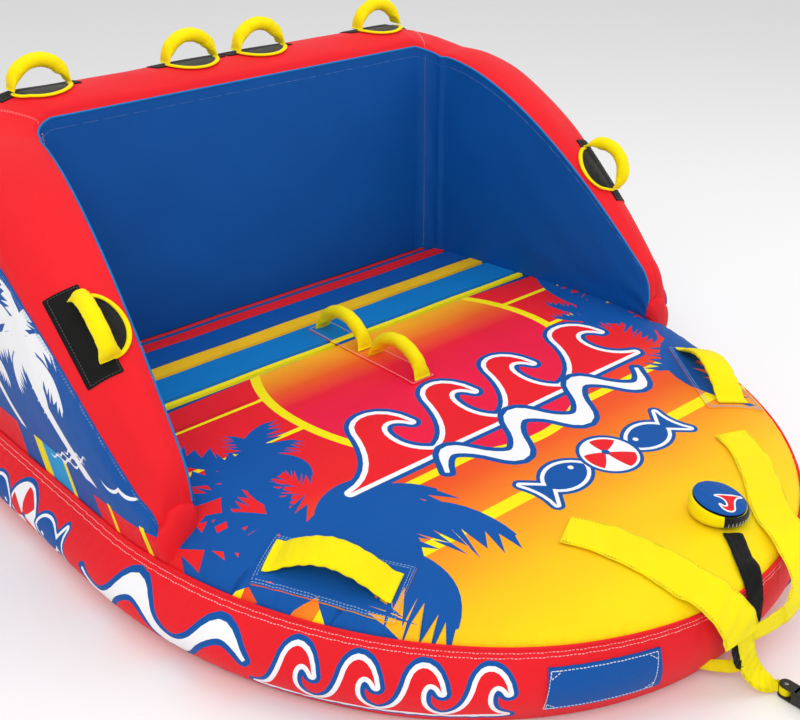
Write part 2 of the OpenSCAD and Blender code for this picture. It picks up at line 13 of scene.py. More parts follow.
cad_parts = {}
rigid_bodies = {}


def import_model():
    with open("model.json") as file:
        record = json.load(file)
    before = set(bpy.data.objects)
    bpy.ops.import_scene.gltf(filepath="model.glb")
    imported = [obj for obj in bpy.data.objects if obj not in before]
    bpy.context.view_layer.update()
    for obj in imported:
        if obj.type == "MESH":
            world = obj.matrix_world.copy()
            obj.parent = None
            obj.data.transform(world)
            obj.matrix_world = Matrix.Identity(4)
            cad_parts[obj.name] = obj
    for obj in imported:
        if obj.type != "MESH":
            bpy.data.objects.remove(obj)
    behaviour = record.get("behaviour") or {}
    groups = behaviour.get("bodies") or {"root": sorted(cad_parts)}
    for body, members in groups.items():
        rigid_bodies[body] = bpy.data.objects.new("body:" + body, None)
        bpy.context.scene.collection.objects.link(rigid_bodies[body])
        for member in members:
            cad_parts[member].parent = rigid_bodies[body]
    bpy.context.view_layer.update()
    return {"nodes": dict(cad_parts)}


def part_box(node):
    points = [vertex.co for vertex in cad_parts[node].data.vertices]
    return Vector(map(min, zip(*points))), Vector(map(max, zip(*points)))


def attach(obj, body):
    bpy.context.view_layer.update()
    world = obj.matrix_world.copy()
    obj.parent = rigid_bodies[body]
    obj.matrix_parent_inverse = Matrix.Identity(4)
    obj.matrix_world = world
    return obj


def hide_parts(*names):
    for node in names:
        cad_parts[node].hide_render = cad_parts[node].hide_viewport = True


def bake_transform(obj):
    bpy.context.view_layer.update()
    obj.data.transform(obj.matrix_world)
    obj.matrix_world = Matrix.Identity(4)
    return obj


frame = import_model()
BODY = "tube"
TAU = 2 * math.pi


# ---------------------------------------------------------------- camera and light
def add_camera():
    data = bpy.data.cameras.new("photo_camera")
    data.lens = 53.55
    data.sensor_width = 36
    camera = bpy.data.objects.new("photo_camera", data)
    camera.location = (-1.556, -1.59, 1.466)
    camera.rotation_euler = (math.radians(63), 0, math.radians(-41.5))
    bpy.context.scene.collection.objects.link(camera)
    bpy.context.scene.camera = camera


def area_light(name, place, target, size, power):
    data = bpy.data.lights.new(name, "AREA")
    data.shape = "DISK"
    data.size = size
    data.energy = power
    light = bpy.data.objects.new(name, data)
    light.location = place
    light.rotation_euler = (Vector(target) - Vector(place)).to_track_quat("-Z", "Y").to_euler()
    bpy.context.scene.collection.objects.link(light)


add_camera()
area_light("key", (-2.6, -2.2, 3.4), (0, 0, 0.3), 3.0, 62)
area_light("fill", (2.8, -1.5, 2.6), (0, 0.1, 0.3), 3.0, 22)
area_light("top", (0, 0.6, 4.0), (0, 0, 0.2), 4.0, 34)
world = bpy.data.worlds.new("studio")
world.use_nodes = True
world.node_tree.nodes["Background"].inputs[0].default_value = (1, 1, 1, 1)
world.node_tree.nodes["Background"].inputs[1].default_value = 0.70
bpy.context.scene.world = world
bpy.context.scene.view_settings.view_transform = "Standard"


# ---------------------------------------------------------------- materials
def linear(rgb):
    return tuple((c / 255 / 12.92) if c <= 10 else ((c / 255 + 0.055) / 1.055) ** 2.4 for c in rgb) + (1,)


RED = (238, 26, 38)
BLUE = (0, 84, 166)
LIGHT_BLUE = (0, 122, 196)
CYAN = (0, 160, 222)
YELLOW = (255, 236, 0)
AMBER = (250, 196, 20)
WHITE = (250, 250, 252)
BLACK = (12, 12, 13)


def plug(tree, socket, value):
    """Links another node's output to a socket, or sets a plain value."""
    if isinstance(value, bpy.types.NodeSocket):
        tree.links.new(value, socket)
    else:
        socket.default_value = value


def fill(tree, node, inputs):
    for name, value in inputs.items():
        plug(tree, node.inputs[name.replace("_", " ")], value)
    return node


def add(tree, kind, **inputs):
    """A new shader node, with its inputs given by name."""
    return fill(tree, tree.nodes.new("ShaderNode" + kind), inputs)


def maths(tree, op, a, b=None):
    node = tree.nodes.new("ShaderNodeMath")
    node.operation = op
    for socket, value in zip(node.inputs, (a,) if b is None else (a, b)):
        plug(tree, socket, value)
    return node.outputs[0]


def times(tree, a, b):
    return maths(tree, "MULTIPLY", a, b)


def plus(tree, a, b):
    return maths(tree, "ADD", a, b)


def object_coords(tree, scale=(1, 1, 1)):
    return add(tree, "Mapping", Vector=add(tree, "TexCoord").outputs["Object"], Scale=scale).outputs["Vector"]


def flat_colour(tree, rgb):
    node = add(tree, "RGB")
    node.outputs[0].default_value = linear(rgb)
    return node.outputs[0]


def ramp(tree, fac, stops):
    node = add(tree, "ValToRGB", Fac=fac)
    elements = node.color_ramp.elements
    while len(elements) < len(stops):
        elements.new(0.5)
    for element, (at, rgb) in zip(elements, stops):
        element.position = at
        element.color = linear(rgb)
    return node.outputs["Color"]


def noise(tree, vec, scale, detail=2.0):
    return add(tree, "TexNoise", Vector=vec, Scale=scale, Detail=detail).outputs["Fac"]


def spread(tree, value, start, end, low=0.0, high=1.0):
    """Maps start to end onto low to high."""
    return add(tree, "MapRange", Value=value, From_Min=start, From_Max=end, To_Min=low, To_Max=high).outputs["Result"]


def mottled(tree, colour, vec, scale, low, high):
    """The colour, lighter and darker in soft patches."""
    node = tree.nodes.new("ShaderNodeVectorMath")
    node.operation = "SCALE"
    plug(tree, node.inputs[0], colour)
    plug(tree, node.inputs["Scale"], spread(tree, noise(tree, vec, scale, 3.0), 0.3, 0.7, low, high))
    return node.outputs[0]


def bumped(tree, height, strength, distance):
    return add(tree, "Bump", Height=height, Strength=strength, Distance=distance).outputs["Normal"]


def weave(tree, vec, pitch):
    """Over-and-under yarns of a plain weave, from three crossed sine waves."""
    axes = add(tree, "SeparateXYZ", Vector=vec).outputs
    x, y, z = (maths(tree, "SINE", times(tree, axes[k], TAU / pitch)) for k in range(3))
    return plus(tree, plus(tree, times(tree, x, y), times(tree, y, z)), times(tree, x, z))


def new_material(name):
    mat = bpy.data.materials.new(name)
    mat.use_nodes = True
    return mat, mat.node_tree


def shade(tree, **inputs):
    fill(tree, tree.nodes["Principled BSDF"], inputs)


def cloth(name, rgb=None, gradient=None, rough=0.55, sheen=0.02, spec=0.16, low=0.95, high=1.03):
    """Coated woven nylon. gradient is (from, to, stops) along the object's Y."""
    mat, tree = new_material(name)
    vec = object_coords(tree)
    if gradient:
        start, end, stops = gradient
        y = add(tree, "SeparateXYZ", Vector=vec).outputs[1]
        wobble = times(tree, noise(tree, vec, 2.2), 0.05)
        colour = ramp(tree, spread(tree, plus(tree, y, wobble), start, end), stops)
    else:
        colour = flat_colour(tree, rgb)
    soft = times(tree, noise(tree, vec, 16, 3.0), 6.0)
    shade(tree, Base_Color=mottled(tree, colour, vec, 5.0, low, high),
          Roughness=plus(tree, times(tree, noise(tree, vec, 420), 0.14), rough - 0.07),
          Sheen_Weight=sheen, Specular_IOR_Level=spec,
          Normal=bumped(tree, plus(tree, weave(tree, vec, 0.0022), soft), 0.35, 0.0006))
    return mat


def webbing(name, rgb, ribs=0.0032):
    """Ribbed strap: herringbone ribs in the piece's own UV map."""
    mat, tree = new_material(name)
    u, v = add(tree, "SeparateXYZ", Vector=add(tree, "UVMap").outputs["UV"]).outputs[:2]
    across = maths(tree, "SINE", times(tree, v, TAU / ribs))
    zig = plus(tree, u, maths(tree, "PINGPONG", v, ribs * 2))
    slant = maths(tree, "SINE", times(tree, zig, TAU / (ribs * 0.8)))
    shade(tree, Base_Color=mottled(tree, flat_colour(tree, rgb), object_coords(tree), 30.0, 0.9, 1.05),
          Roughness=0.6, Sheen_Weight=0.04, Specular_IOR_Level=0.15,
          Normal=bumped(tree, plus(tree, times(tree, across, 0.6), slant), 0.5, 0.0005))
    return mat


def moulded(name, rgb, rough=0.42, metallic=0.0):
    """Injection-moulded plastic or cast metal: fine grain and faint scuffs."""
    mat, tree = new_material(name)
    vec = object_coords(tree)
    scuff = noise(tree, object_coords(tree, (60, 400, 60)), 3.0, 4.0)
    shade(tree, Base_Color=mottled(tree, flat_colour(tree, rgb), vec, 40.0, 0.85, 1.2),
          Roughness=plus(tree, times(tree, scuff, 0.25), rough - 0.12), Metallic=metallic,
          Normal=bumped(tree, noise(tree, vec, 900), 0.3, 0.0002))
    return mat


def thread(name, rgb):
    mat, tree = new_material(name)
    vec = object_coords(tree)
    twist = add(tree, "TexWave", Vector=vec, Scale=900).outputs["Fac"]
    shade(tree, Base_Color=mottled(tree, flat_colour(tree, rgb), vec, 250.0, 0.85, 1.1),
          Roughness=0.7, Sheen_Weight=0.3, Normal=bumped(tree, twist, 0.3, 0.0002))
    return mat


M = {
    "red": cloth("red_nylon", RED),
    "blue": cloth("blue_nylon", BLUE),
    "inner": cloth("inner_blue_nylon", BLUE, rough=0.46),
    "light": cloth("light_blue_print", LIGHT_BLUE),
    "cyan": cloth("cyan_print", CYAN),
    "yellow_print": cloth("yellow_print", YELLOW),
    "amber": cloth("amber_print", AMBER, low=0.9, high=1.1),
    "white": cloth("white_print", WHITE),
    "deck": cloth("sunset_print", gradient=(-0.62, 0.08, [
        (0.0, (255, 224, 0)), (0.22, (255, 200, 12)), (0.42, (251, 152, 26)), (0.6, (243, 92, 30)),
        (0.8, (238, 32, 36)), (1.0, RED)])),
    "sun": cloth("sun_print", gradient=(0.12, 0.37, [
        (0.0, (240, 22, 66)), (0.35, (240, 26, 52)), (0.62, (243, 92, 30)), (1.0, (252, 176, 24))])),
    "sleeve": cloth("yellow_sleeve", YELLOW, rough=0.62, sheen=0.04, spec=0.12, low=0.93, high=1.03),
    "yellow_web": webbing("yellow_webbing", YELLOW),
    "black_web": webbing("black_webbing", BLACK),
    "black_patch": cloth("black_patch_nylon", BLACK, rough=0.6, low=0.7, high=1.3),
    "neoprene": cloth("black_neoprene", BLACK, rough=0.7, sheen=0.25, low=0.7, high=1.3),
    "plastic": moulded("black_moulded_nylon", BLACK),
    "seal": moulded("pale_seal_rubber", (205, 205, 198), 0.6),
    "metal": moulded("cast_slider_metal", (150, 152, 155), 0.38, 0.8),
    "tape": webbing("zip_tape_weave", (18, 18, 20), ribs=0.0018),
    "thread": thread("white_thread", (235, 238, 245)),
    "pale_thread": thread("pale_blue_thread", (140, 180, 225)),
    "red_thread": thread("red_thread", (255, 190, 190)),
    "grey_thread": thread("grey_thread", (70, 70, 74)),
    "yellow_thread": thread("yellow_thread", (232, 200, 0)),
}


def floor_material():
    mat, tree = new_material("pale_floor")
    shade(tree, Base_Color=(0.93, 0.93, 0.935, 1), Roughness=0.9, Specular_IOR_Level=0.1)
    return mat


# ---------------------------------------------------------------- mesh helpers
def unit(v):
    """Vectors along the last axis, made one long."""
    return v / np.maximum(np.linalg.norm(v, axis=-1, keepdims=True), 1e-9)


def left_of(v):
    """Plane vectors turned a quarter turn to the left."""
    return np.stack([-v[..., 1], v[..., 0]], -1)


def run_of(P):
    """Length along a run of points, at each point."""
    return np.r_[0, np.cumsum(np.linalg.norm(np.diff(P, axis=0), axis=1))]


def grid(a, b):
    return np.meshgrid(a, b, indexing="ij")


def put(place, P):
    """Points moved from a local frame to the scene."""
    return np.array([tuple(place @ Vector(map(float, q))) for q in P.reshape(-1, 3)]).reshape(P.shape)


def build(name, verts, faces, mats, index=None, normals=None, smooth=True, uvs=None):
    """A mesh object. index gives each face's material, normals and uvs a value for each vertex."""
    me = bpy.data.meshes.new(name)
    me.from_pydata([tuple(map(float, v)) for v in verts], [], [tuple(map(int, f)) for f in faces])
    for m in mats:
        me.materials.append(m)
    if index is not None:
        me.polygons.foreach_set("material_index", np.asarray(index, np.int32))
    if uvs is not None:
        layer = me.uv_layers.new(name="UVMap")
        loops = np.zeros(len(me.loops), np.int32)
        me.loops.foreach_get("vertex_index", loops)
        layer.data.foreach_set("uv", np.asarray(uvs, np.float32)[loops].ravel())
    me.polygons.foreach_set("use_smooth", np.full(len(me.polygons), smooth))
    me.update()
    if normals is not None:
        me.normals_split_custom_set_from_vertices([tuple(map(float, v)) for v in normals])
    obj = bpy.data.objects.new(name, me)
    bpy.context.scene.collection.objects.link(obj)
    return obj


def piece(obj, nodes=(), body=BODY):
    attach(obj, body)
    if nodes:
        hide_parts(*nodes)
    return obj


def grid_faces(nu, nv, closed_u=False, closed_v=False):
    return [(i * nv + j, ((i + 1) % nu) * nv + j, ((i + 1) % nu) * nv + (j + 1) % nv, i * nv + (j + 1) % nv)
            for i in range(nu - (not closed_u)) for j in range(nv - (not closed_v))]


def flipped(faces):
    """The same faces turned over, each from the same first corner."""
    return [(f[0], *f[:0:-1]) for f in faces]


def sheet_of(name, P, mat, closed_u=False, closed_v=False, uv=False):
    """Quads over a grid of points, (rows, columns, 3)."""
    nu, nv, _ = P.shape
    uvs = np.stack(grid(run_of(P[:, nv // 2]), run_of(P[nu // 2])), -1).reshape(-1, 2) if uv else None
    return build(name, P.reshape(-1, 3), grid_faces(nu, nv, closed_u, closed_v), [mat], uvs=uvs)


def inside(points, poly):
    """Which points lie in a closed outline."""
    x, y = points[:, 0], points[:, 1]
    px, py = poly[:, 0], poly[:, 1]
    qx, qy = np.roll(px, -1), np.roll(py, -1)
    hit = np.zeros(len(points), bool)
    for a, b, c, d in zip(px, py, qx, qy):
        if b != d:
            hit ^= ((b > y) != (d > y)) & (x < (c - a) * (y - b) / (d - b) + a)
    return hit


def ordered(poly):
    """The outline, counter-clockwise."""
    p = np.asarray(poly, float)
    return p if np.sum(p[:, 0] * np.roll(p[:, 1], -1) - p[:, 1] * np.roll(p[:, 0], -1)) > 0 else p[::-1]


def printed(name, outline, layers, step, surface, mats, low=None):
    """One sheet cut along its printed outlines. Each triangle takes the material of the last layer that holds it.

    low is the surface that the sheet's edge reaches down to.
    """
    outline = ordered(outline)
    lo, hi = outline.min(0), outline.max(0)
    gx, gy = np.arange(lo[0] + step / 2, hi[0], step), np.arange(lo[1] + step / 2, hi[1], step)
    inner = np.stack(grid(gx, gy), -1).reshape(-1, 2)
    inner[:, 0] += 0.29 * step * np.sin(37 * inner[:, 1] / step)
    inner = inner[inside(inner, outline)]
    verts, faces, kinds = [], [], []
    for poly, kind in [(outline, 0)] + list(layers):
        poly = ordered(poly)
        faces.append(list(range(len(verts), len(verts) + len(poly))))
        verts += [Vector(map(float, p)) for p in poly]
        kinds.append(kind)
    verts += [Vector(map(float, p)) for p in inner]
    out = geometry.delaunay_2d_cdt(verts, [], faces, 1, 1e-6, True)
    uv = np.array([tuple(v) for v in out[0]])
    keep = [(f, max(o)) for f, o in zip(out[2], out[5]) if o and 0 in o]
    tris = np.array([f for f, _ in keep])
    area = np.cross(uv[tris[:, 1]] - uv[tris[:, 0]], uv[tris[:, 2]] - uv[tris[:, 0]])
    tris[area < 0] = tris[area < 0][:, ::-1]
    index = [kinds[o] for _, o in keep]
    used = np.unique(tris)
    remap = np.full(len(uv), -1)
    remap[used] = np.arange(len(used))
    uv, tris = uv[used], remap[tris]
    P = surface(uv[:, 0], uv[:, 1])
    e = 1e-3
    N = unit(np.cross(surface(uv[:, 0] + e, uv[:, 1]) - surface(uv[:, 0] - e, uv[:, 1]),
                      surface(uv[:, 0], uv[:, 1] + e) - surface(uv[:, 0], uv[:, 1] - e)))
    faces = [tuple(t) for t in tris]
    if low:
        top, foot = surface(outline[:, 0], outline[:, 1]), low(outline[:, 0], outline[:, 1])
        away = unit(np.cross(np.roll(top, -1, axis=0) - np.roll(top, 1, axis=0), top - foot))
        n, m = len(outline), len(P)
        faces += [(m + i, m + n + i, m + n + (i + 1) % n, m + (i + 1) % n) for i in range(n)]
        index += [0] * n
        P, N = np.vstack([P, top, foot]), np.vstack([N, away, away])
    return build(name, P, faces, mats, index, N)


# ---------------------------------------------------------------- the tube's surfaces, as in the CAD part
HALF_W, NOSE_L, YW, SEAM_Z = 0.735, 0.915, 0.175, 0.17
ARM_Y, WALL_Y, REAR_Y, SEAT_W = -0.008, 0.679, 0.915, 1.096
HUB = np.array([0, 0.33])
COVER_T = 0.003


def mix(p, q, t):
    return p + (q - p) * t


def ease(t):
    t = np.clip(t, 0, 1)
    return t * t * (3 - 2 * t)


def bez(points, t):
    points = [np.asarray(p, float) for p in points]
    while len(points) > 1:
        points = [mix(a, b, t) for a, b in zip(points, points[1:])]
    return points[0]


def station(k):
    """[Ax, Ay, Bx, By, rim, crown] at station k of the right half, 0 at the tip and 34 at the back's middle."""
    if k < 13:
        t = math.acos((YW - ARM_Y) / NOSE_L) * k / 13
        a = np.array([HALF_W * math.sin(t), YW - NOSE_L * math.cos(t)])
        b = a + (HUB - a) / np.linalg.norm(HUB - a) * 0.075
        return [*a, *b, 0, 0]
    if k <= 24:
        if k <= 16:
            t = np.interp(k, [13, 14, 15, 16], [0, 0.4, 0.75, 1])
            y, z = bez([(ARM_Y, 0.27), (ARM_Y, 0.335), (0.028, 0.366)], t)
        else:
            y, z = bez([(0.028, 0.366), (0.27, 0.63), (0.47, 0.76), (0.62, 0.775)], (k - 16) / 8)
        x = HALF_W * math.sqrt(1 - ((y - YW) / NOSE_L) ** 2) if y < YW else HALF_W
        return [x, y, SEAT_W / 2 + 0.15 * (WALL_Y - y), y, z, 0.01]
    if k <= 30:
        if k < 25:
            return [mix(a, b, k - 24) for a, b in zip(station(24), station(25))]
        w = math.radians(18 * (k - 25))
        c, s, f = math.cos(w), math.sin(w), (k - 25) / 5
        return [0.535 + 0.2 * c, 0.715 + 0.2 * s, 0.503 + 0.045 * c, 0.634 + 0.045 * s,
                mix(0.775, 0.8, f), mix(0.01, 0.035, f)]
    f = (34 - k) / 4
    return [0.535 * f, REAR_Y, 0.503 * f, WALL_Y, 0.8, 0.035]


LAST = 68  # stations once round the tube
GS = np.linspace(0, LAST, 2721)
RIGHT_HALF = np.array([station(k) for k in GS[:1361]])
TABLE = np.vstack([RIGHT_HALF, RIGHT_HALF[-2::-1] * [-1, 1, -1, 1, 1, 1]])


def stations(g):
    return np.stack([np.interp(np.asarray(g) % LAST, GS, TABLE[:, c]) for c in range(6)], -1)


def outward(g):
    return -left_of(unit(stations(np.asarray(g) + 0.3)[..., :2] - stations(np.asarray(g) - 0.3)[..., :2]))


def rise(y):
    return mix(0.035, 0.08, ease((y + 0.45) / 0.6))


def pillow(d):
    return np.where(d >= 0.15, 1, np.sqrt(np.clip(1 - (1 - d / 0.15) ** 2, 0, 1)))


def from_edge(x, y):
    """Distance to the deck's edge, along the line from the middle of the seat."""
    dx, dy = x - HUB[0], y - HUB[1]
    dx = np.where(np.abs(dx) < 1e-9, 1e-9, dx)
    dy = np.where(np.abs(dy) < 1e-9, 1e-9, dy)
    a = (dx / HALF_W) ** 2 + (dy / NOSE_L) ** 2
    b = 2 * (HUB[1] - YW) * dy / NOSE_L ** 2
    c = ((HUB[1] - YW) / NOSE_L) ** 2 - 1
    t = (-b + np.sqrt(b * b - 4 * a * c)) / (2 * a)
    side = HALF_W / np.abs(dx)
    t = np.where(HUB[1] + side * dy > YW, side, t)
    t = np.where(dy > 0, np.minimum(t, (REAR_Y - HUB[1]) / np.maximum(dy, 1e-9)), t)
    return np.hypot(dx, dy) * (t - 1)


def sines(a, b):
    """Cheap soft unevenness of inflated fabric, within 1."""
    return (np.sin(9.1 * a + 3.7 * np.sin(4.3 * b)) + np.sin(13.7 * b + 2.1 * np.sin(6.9 * a))
            + np.sin(23 * a + 17 * b)) / 3


def pucker(d, fade, seam, along, coarse, fine, shift, size):
    """Gathers beside a seam at distance d: none in the seam itself, and fading out."""
    waves = np.sin(coarse * along) + 0.7 * np.sin(fine * along + shift)
    return np.exp(-d / fade) * np.sin(np.minimum(d / seam, 1) * 1.57) * waves * size


def deck_z(x, y):
    """Height of the deck's cover, with soft puckers where it is sewn."""
    d = from_edge(x, y)
    gathers = pucker(np.maximum(d, 0), 0.035, 0.012, np.arctan2(y - HUB[1], x), 130, 211, 1.3, 0.0011)
    return SEAM_Z + rise(y) * pillow(d) + gathers + 0.0012 * sines(x, y) * np.clip(d / 0.1, 0, 1)


def on_deck(x, y, lift=0.0):
    x, y = np.asarray(x, float), np.asarray(y, float)
    return np.stack([x, y, deck_z(x, y) + lift], -1)


# The side band: s runs along the top seam from the tip, to the right; h is the depth below the seam.
ARC = run_of(TABLE[:, :2])
LOOP = ARC[-1]
BAND_H = SEAM_Z - COVER_T


def band(s, h, lift=0.0):
    g = np.interp(np.asarray(s) % LOOP, ARC, GS)
    v = np.clip(np.asarray(h) / BAND_H, 0, 1)
    nose_k = ease(np.minimum(g, LAST - g) / 13)
    o = mix(-0.030, 0.008, nose_k) * v + mix(0.45, 1, nose_k) * 0.05 * np.sin(math.pi * v) + COVER_T + lift
    o = o + pucker(np.minimum(v, 1 - v), 0.16, 0.08, s, 180, 291, 0.4, 0.0011) + 0.001 * sines(s, h * 2)
    a = stations(g)[..., :2] + outward(g) * o[..., None]
    return np.concatenate([a, (mix(SEAM_Z - 0.0005, 0.003, v))[..., None]], -1)


# The backrest's section: 12 corners from the outer foot, over the rim, to the inner foot.
def sections(g):
    st = stations(g)
    A, B, zi, cr = st[:, :2], st[:, 2:4], st[:, 4], st[:, 5]
    w = np.linalg.norm(B - A, axis=1)
    e = (B - A) / w[:, None]
    zb = SEAM_Z + rise(B[:, 1]) * pillow(w) + 0.001
    k = np.clip((zi - 0.23) / 0.14, 0.35, 1)
    zo = zi - 0.075 * k
    so = -np.minimum(0.03, 0.075 * (zo - SEAM_Z))
    zero = np.zeros_like(w)
    rows = [
        (zero, zero + SEAM_Z + 0.001), (so * 0.5 - 0.008, mix(SEAM_Z, zo, 0.35)), (so * 0.85 - 0.008, mix(SEAM_Z, zo, 0.7)),
        (so, zo), (so + 0.012, zi - 0.04 * k), (mix(so, w, 0.3), zi + cr - 0.018 * k), (mix(so, w, 0.62), zi + cr),
        (w - 0.022, zi + 0.004 + cr * 0.5), (w - 0.002, zi),
        (w + 0.004, mix(zb, zi, 0.6)), (w + 0.004, mix(zb, zi, 0.25)), (w, zb - 0.004)]
    return A, e, np.stack([np.stack(r, -1) for r in rows], 1)


def cubic(p0, p1, p2, p3, f):
    """A Catmull-Rom curve's point between p1 and p2."""
    return 0.5 * (2 * p1 + (p2 - p0) * f + (2 * p0 - 5 * p1 + 4 * p2 - p3) * f ** 2
                  + (3 * p1 - p0 - 3 * p2 + p3) * f ** 3)


def catmull(P, t):
    """Smooth curve through the control points P, (n, m, 2), at t in 0 to m - 1 for each row."""
    m = P.shape[1]
    P = np.concatenate([2 * P[:, :1] - P[:, 1:2], P, 2 * P[:, -1:] - P[:, -2:-1]], 1)
    i = np.clip(t.astype(int), 0, m - 2)
    r = np.arange(len(t))
    return cubic(*(P[r, i + d] for d in range(4)), (t - i)[:, None])


def spline(P, t):
    """Smooth curve through the points P at t in 0 to len(P) - 1."""
    P = np.asarray(P, float)
    P = np.vstack([2 * P[0] - P[1], P, 2 * P[-1] - P[-2]])
    i = np.clip(t.astype(int), 0, len(P) - 4)
    return cubic(*(P[i + d] for d in range(4)), (t - i)[:, None])


SEAMS = {"outer": (0, 3), "rim": (3, 8), "inner": (8, 11)}


def shell(g, t, part, lift=0.0):
    """Point of one panel of the backrest at station g and t from 0 to 1 across it."""
    g, t = np.asarray(g, float), np.asarray(t, float)
    j0, j1 = SEAMS[part]

    def at(g, t):
        A, e, ctrl = sections(g)
        q = catmull(ctrl[:, j0:j1 + 1], t * (j1 - j0))
        return np.concatenate([A + e * q[:, :1], q[:, 1:]], 1)

    edge = np.minimum(t, 1 - t)
    s = np.interp(g % LAST, GS, ARC)
    soft = 0.0016 * sines(s * 1.3, t) * np.clip(edge * 5, 0, 1)
    dg = at(g + 0.05, t) - at(g - 0.05, t)
    dt = at(g, np.clip(t + 0.01, 0, 1)) - at(g, np.clip(t - 0.01, 0, 1))
    out = pucker(edge, 0.12, 0.06, s, 150, 247, 1, 0.0009) + soft + lift
    return at(g, t) + unit(np.cross(dt, dg)) * out[:, None]


def panel(name, part, g0, g1, nu, nv, mat):
    g, t = grid(np.linspace(g0, g1, nu), np.linspace(0, 1, nv))
    return sheet_of(name, shell(g.ravel(), t.ravel(), part).reshape(nu, nv, 3), mat)


# ---------------------------------------------------------------- drawing outlines for the prints
def arc(cx, cy, r, a0, a1, n):
    a = np.radians(np.linspace(a0, a1, n))
    return np.stack([cx + r * np.cos(a), cy + r * np.sin(a)], -1)


def curve(points, n=14):
    return np.array([bez(points, t) for t in np.linspace(0, 1, n)])


def path(*parts):
    """Joins pieces of an outline, dropping repeated points."""
    pts = np.vstack([np.atleast_2d(np.asarray(p, float)) for p in parts])
    keep = np.r_[True, np.linalg.norm(np.diff(pts, axis=0), axis=1) > 1e-4]
    return pts[keep]


def beziers(n, start, *runs):
    """Bezier curves end to end. Each run holds the control points after the last curve's end."""
    parts = []
    for run in runs:
        parts.append(curve([start, *run], n))
        start = run[-1]
    return path(*parts)


def dense(poly, step):
    """The outline with points all along its edge."""
    out = []
    for a, b in zip(poly, np.roll(poly, -1, axis=0)):
        n = max(1, int(np.linalg.norm(b - a) / step))
        out += [mix(a, b, i / n) for i in range(n)]
    return np.array(out)


def bar(x0, y0, x1, y1):
    return np.array([(x0, y0), (x1, y0), (x1, y1), (x0, y1)], float)


def moved(poly, at=(0, 0), turn=0.0, size=1.0, mirror=False):
    p = np.asarray(poly, float) * (size if np.ndim(size) else (size, size))
    if mirror:
        p = p * [-1, 1]
    c, s = math.cos(math.radians(turn)), math.sin(math.radians(turn))
    return p @ np.array([[c, s], [-s, c]]) + at


def grown(poly, w):
    """The outline moved outwards by w, with rounded corners and no crossings."""
    P = dense(ordered(poly), 0.004)
    d0, d1 = P - np.roll(P, 1, axis=0), np.roll(P, -1, axis=0) - P
    out = []
    for p, a, b in zip(P, d0, d1):
        t0, t1 = math.atan2(a[1], a[0]) - math.pi / 2, math.atan2(b[1], b[0]) - math.pi / 2
        turn = (t1 - t0 + math.pi) % TAU - math.pi
        steps = max(1, int(abs(turn) / 0.5)) if turn > 0 else 1
        out += [p + w * np.array([math.cos(t0 + turn * (i + 0.5) / steps), math.sin(t0 + turn * (i + 0.5) / steps)])
                for i in range(steps)]
    out = np.array(out)
    near = np.min(np.linalg.norm(out[:, None] - P[None], axis=2), axis=1)
    out = out[near > w * 0.97]
    keep = [0]
    for i in range(1, len(out)):
        if np.linalg.norm(out[i] - out[keep[-1]]) > 0.003:
            keep.append(i)
    return out[keep]


def frond(root, tip, bend, width, teeth=9):
    """A palm frond: a smooth back edge and a saw-toothed front edge."""
    root, tip = np.array(root, float), np.array(tip, float)
    d = tip - root
    side = np.array([-d[1], d[0]])
    mid = root + d * 0.5 + side * bend
    spine = curve([root, mid, tip], 15)
    body = width * np.sin(np.pi * np.clip(np.linspace(0, 1, 15) * 0.82 + 0.16, 0, 1)) ** 0.8
    tang = unit(np.gradient(spine, axis=0))
    nrm = left_of(tang)
    sgn = np.sign(bend) if bend else 1
    back = spine + nrm * (sgn * body * 0.42)[:, None]
    front = []
    for i in range(teeth):
        a = 1 - (i + 0.15) / teeth
        j = min(int(a * 14), 13)
        base = spine[j] - nrm[j] * sgn * body[j] * 0.25
        point = spine[j] - nrm[j] * sgn * body[j] * (0.95 if i % 2 else 0.7) + tang[j] * width * 0.42
        front += [point, base]
    return path(back, tip, np.array(front))


def crest():
    """A curling wave in a unit box."""
    return beziers(9, (0, 0), [(0.32, 0.05), (0.5, 0.42), (0.58, 0.8)], [(0.66, 1.08), (1.02, 1.08), (1.08, 0.6)],
                   [(0.98, 0.82), (0.8, 0.8), (0.76, 0.58)], [(0.72, 0.3), (0.86, 0.08), (1.06, 0)])


def swell(x0, x1, y, amp, waves, w0, w1):
    """A swinging ribbon that is thin at its crossings and thick at its bends."""
    x = np.linspace(x0, x1, 18 * waves)
    f = (x - x0) / (x1 - x0)
    mid = np.stack([x, y + amp * np.sin(TAU * waves * f)], -1)
    half = mix(w0, w1, np.abs(np.sin(TAU * waves * f)) ** 1.5) * np.sin(np.pi * np.clip(f, 0.02, 0.98)) ** 0.35 / 2
    side = left_of(unit(np.gradient(mid, axis=0))) * half[:, None]
    return path(mid + side, (mid - side)[::-1])


def swimmer(at, layers, w, h, turn=0.0, mirror=False, white=0.008, blue=0.016):
    """A blue fish with a white eye and a white and blue border."""
    outlined(moved(fish(w, h), at, turn, mirror=mirror), "blue", layers, white, blue)
    eye = moved([(0.80 * w, 0.62 * h)], at, turn, mirror=mirror)[0]
    layers.append((arc(*eye, 0.07 * h, 0, 340, 14), "white"))


def fish(w, h):
    """A plump leaping fish that faces +x, in a box w by h."""
    sides = beziers(12, (0.24, 0.58), [(0.42, 1.10), (0.86, 1.0), (1, 0.5)], [(0.86, 0.04), (0.42, -0.06), (0.24, 0.42)])
    tail = beziers(6, (0.24, 0.42), [(0.14, 0.24), (0, 0)], [(0.12, 0.5), (0, 1)], [(0.14, 0.76), (0.24, 0.58)])
    return path(sides, tail[1:-1]) * [w, h]


def outlined(poly, fill, layers, white=0.007, blue=0.016):
    layers += [(grown(poly, blue), "blue"), (grown(poly, white), "white"), (poly, fill)]


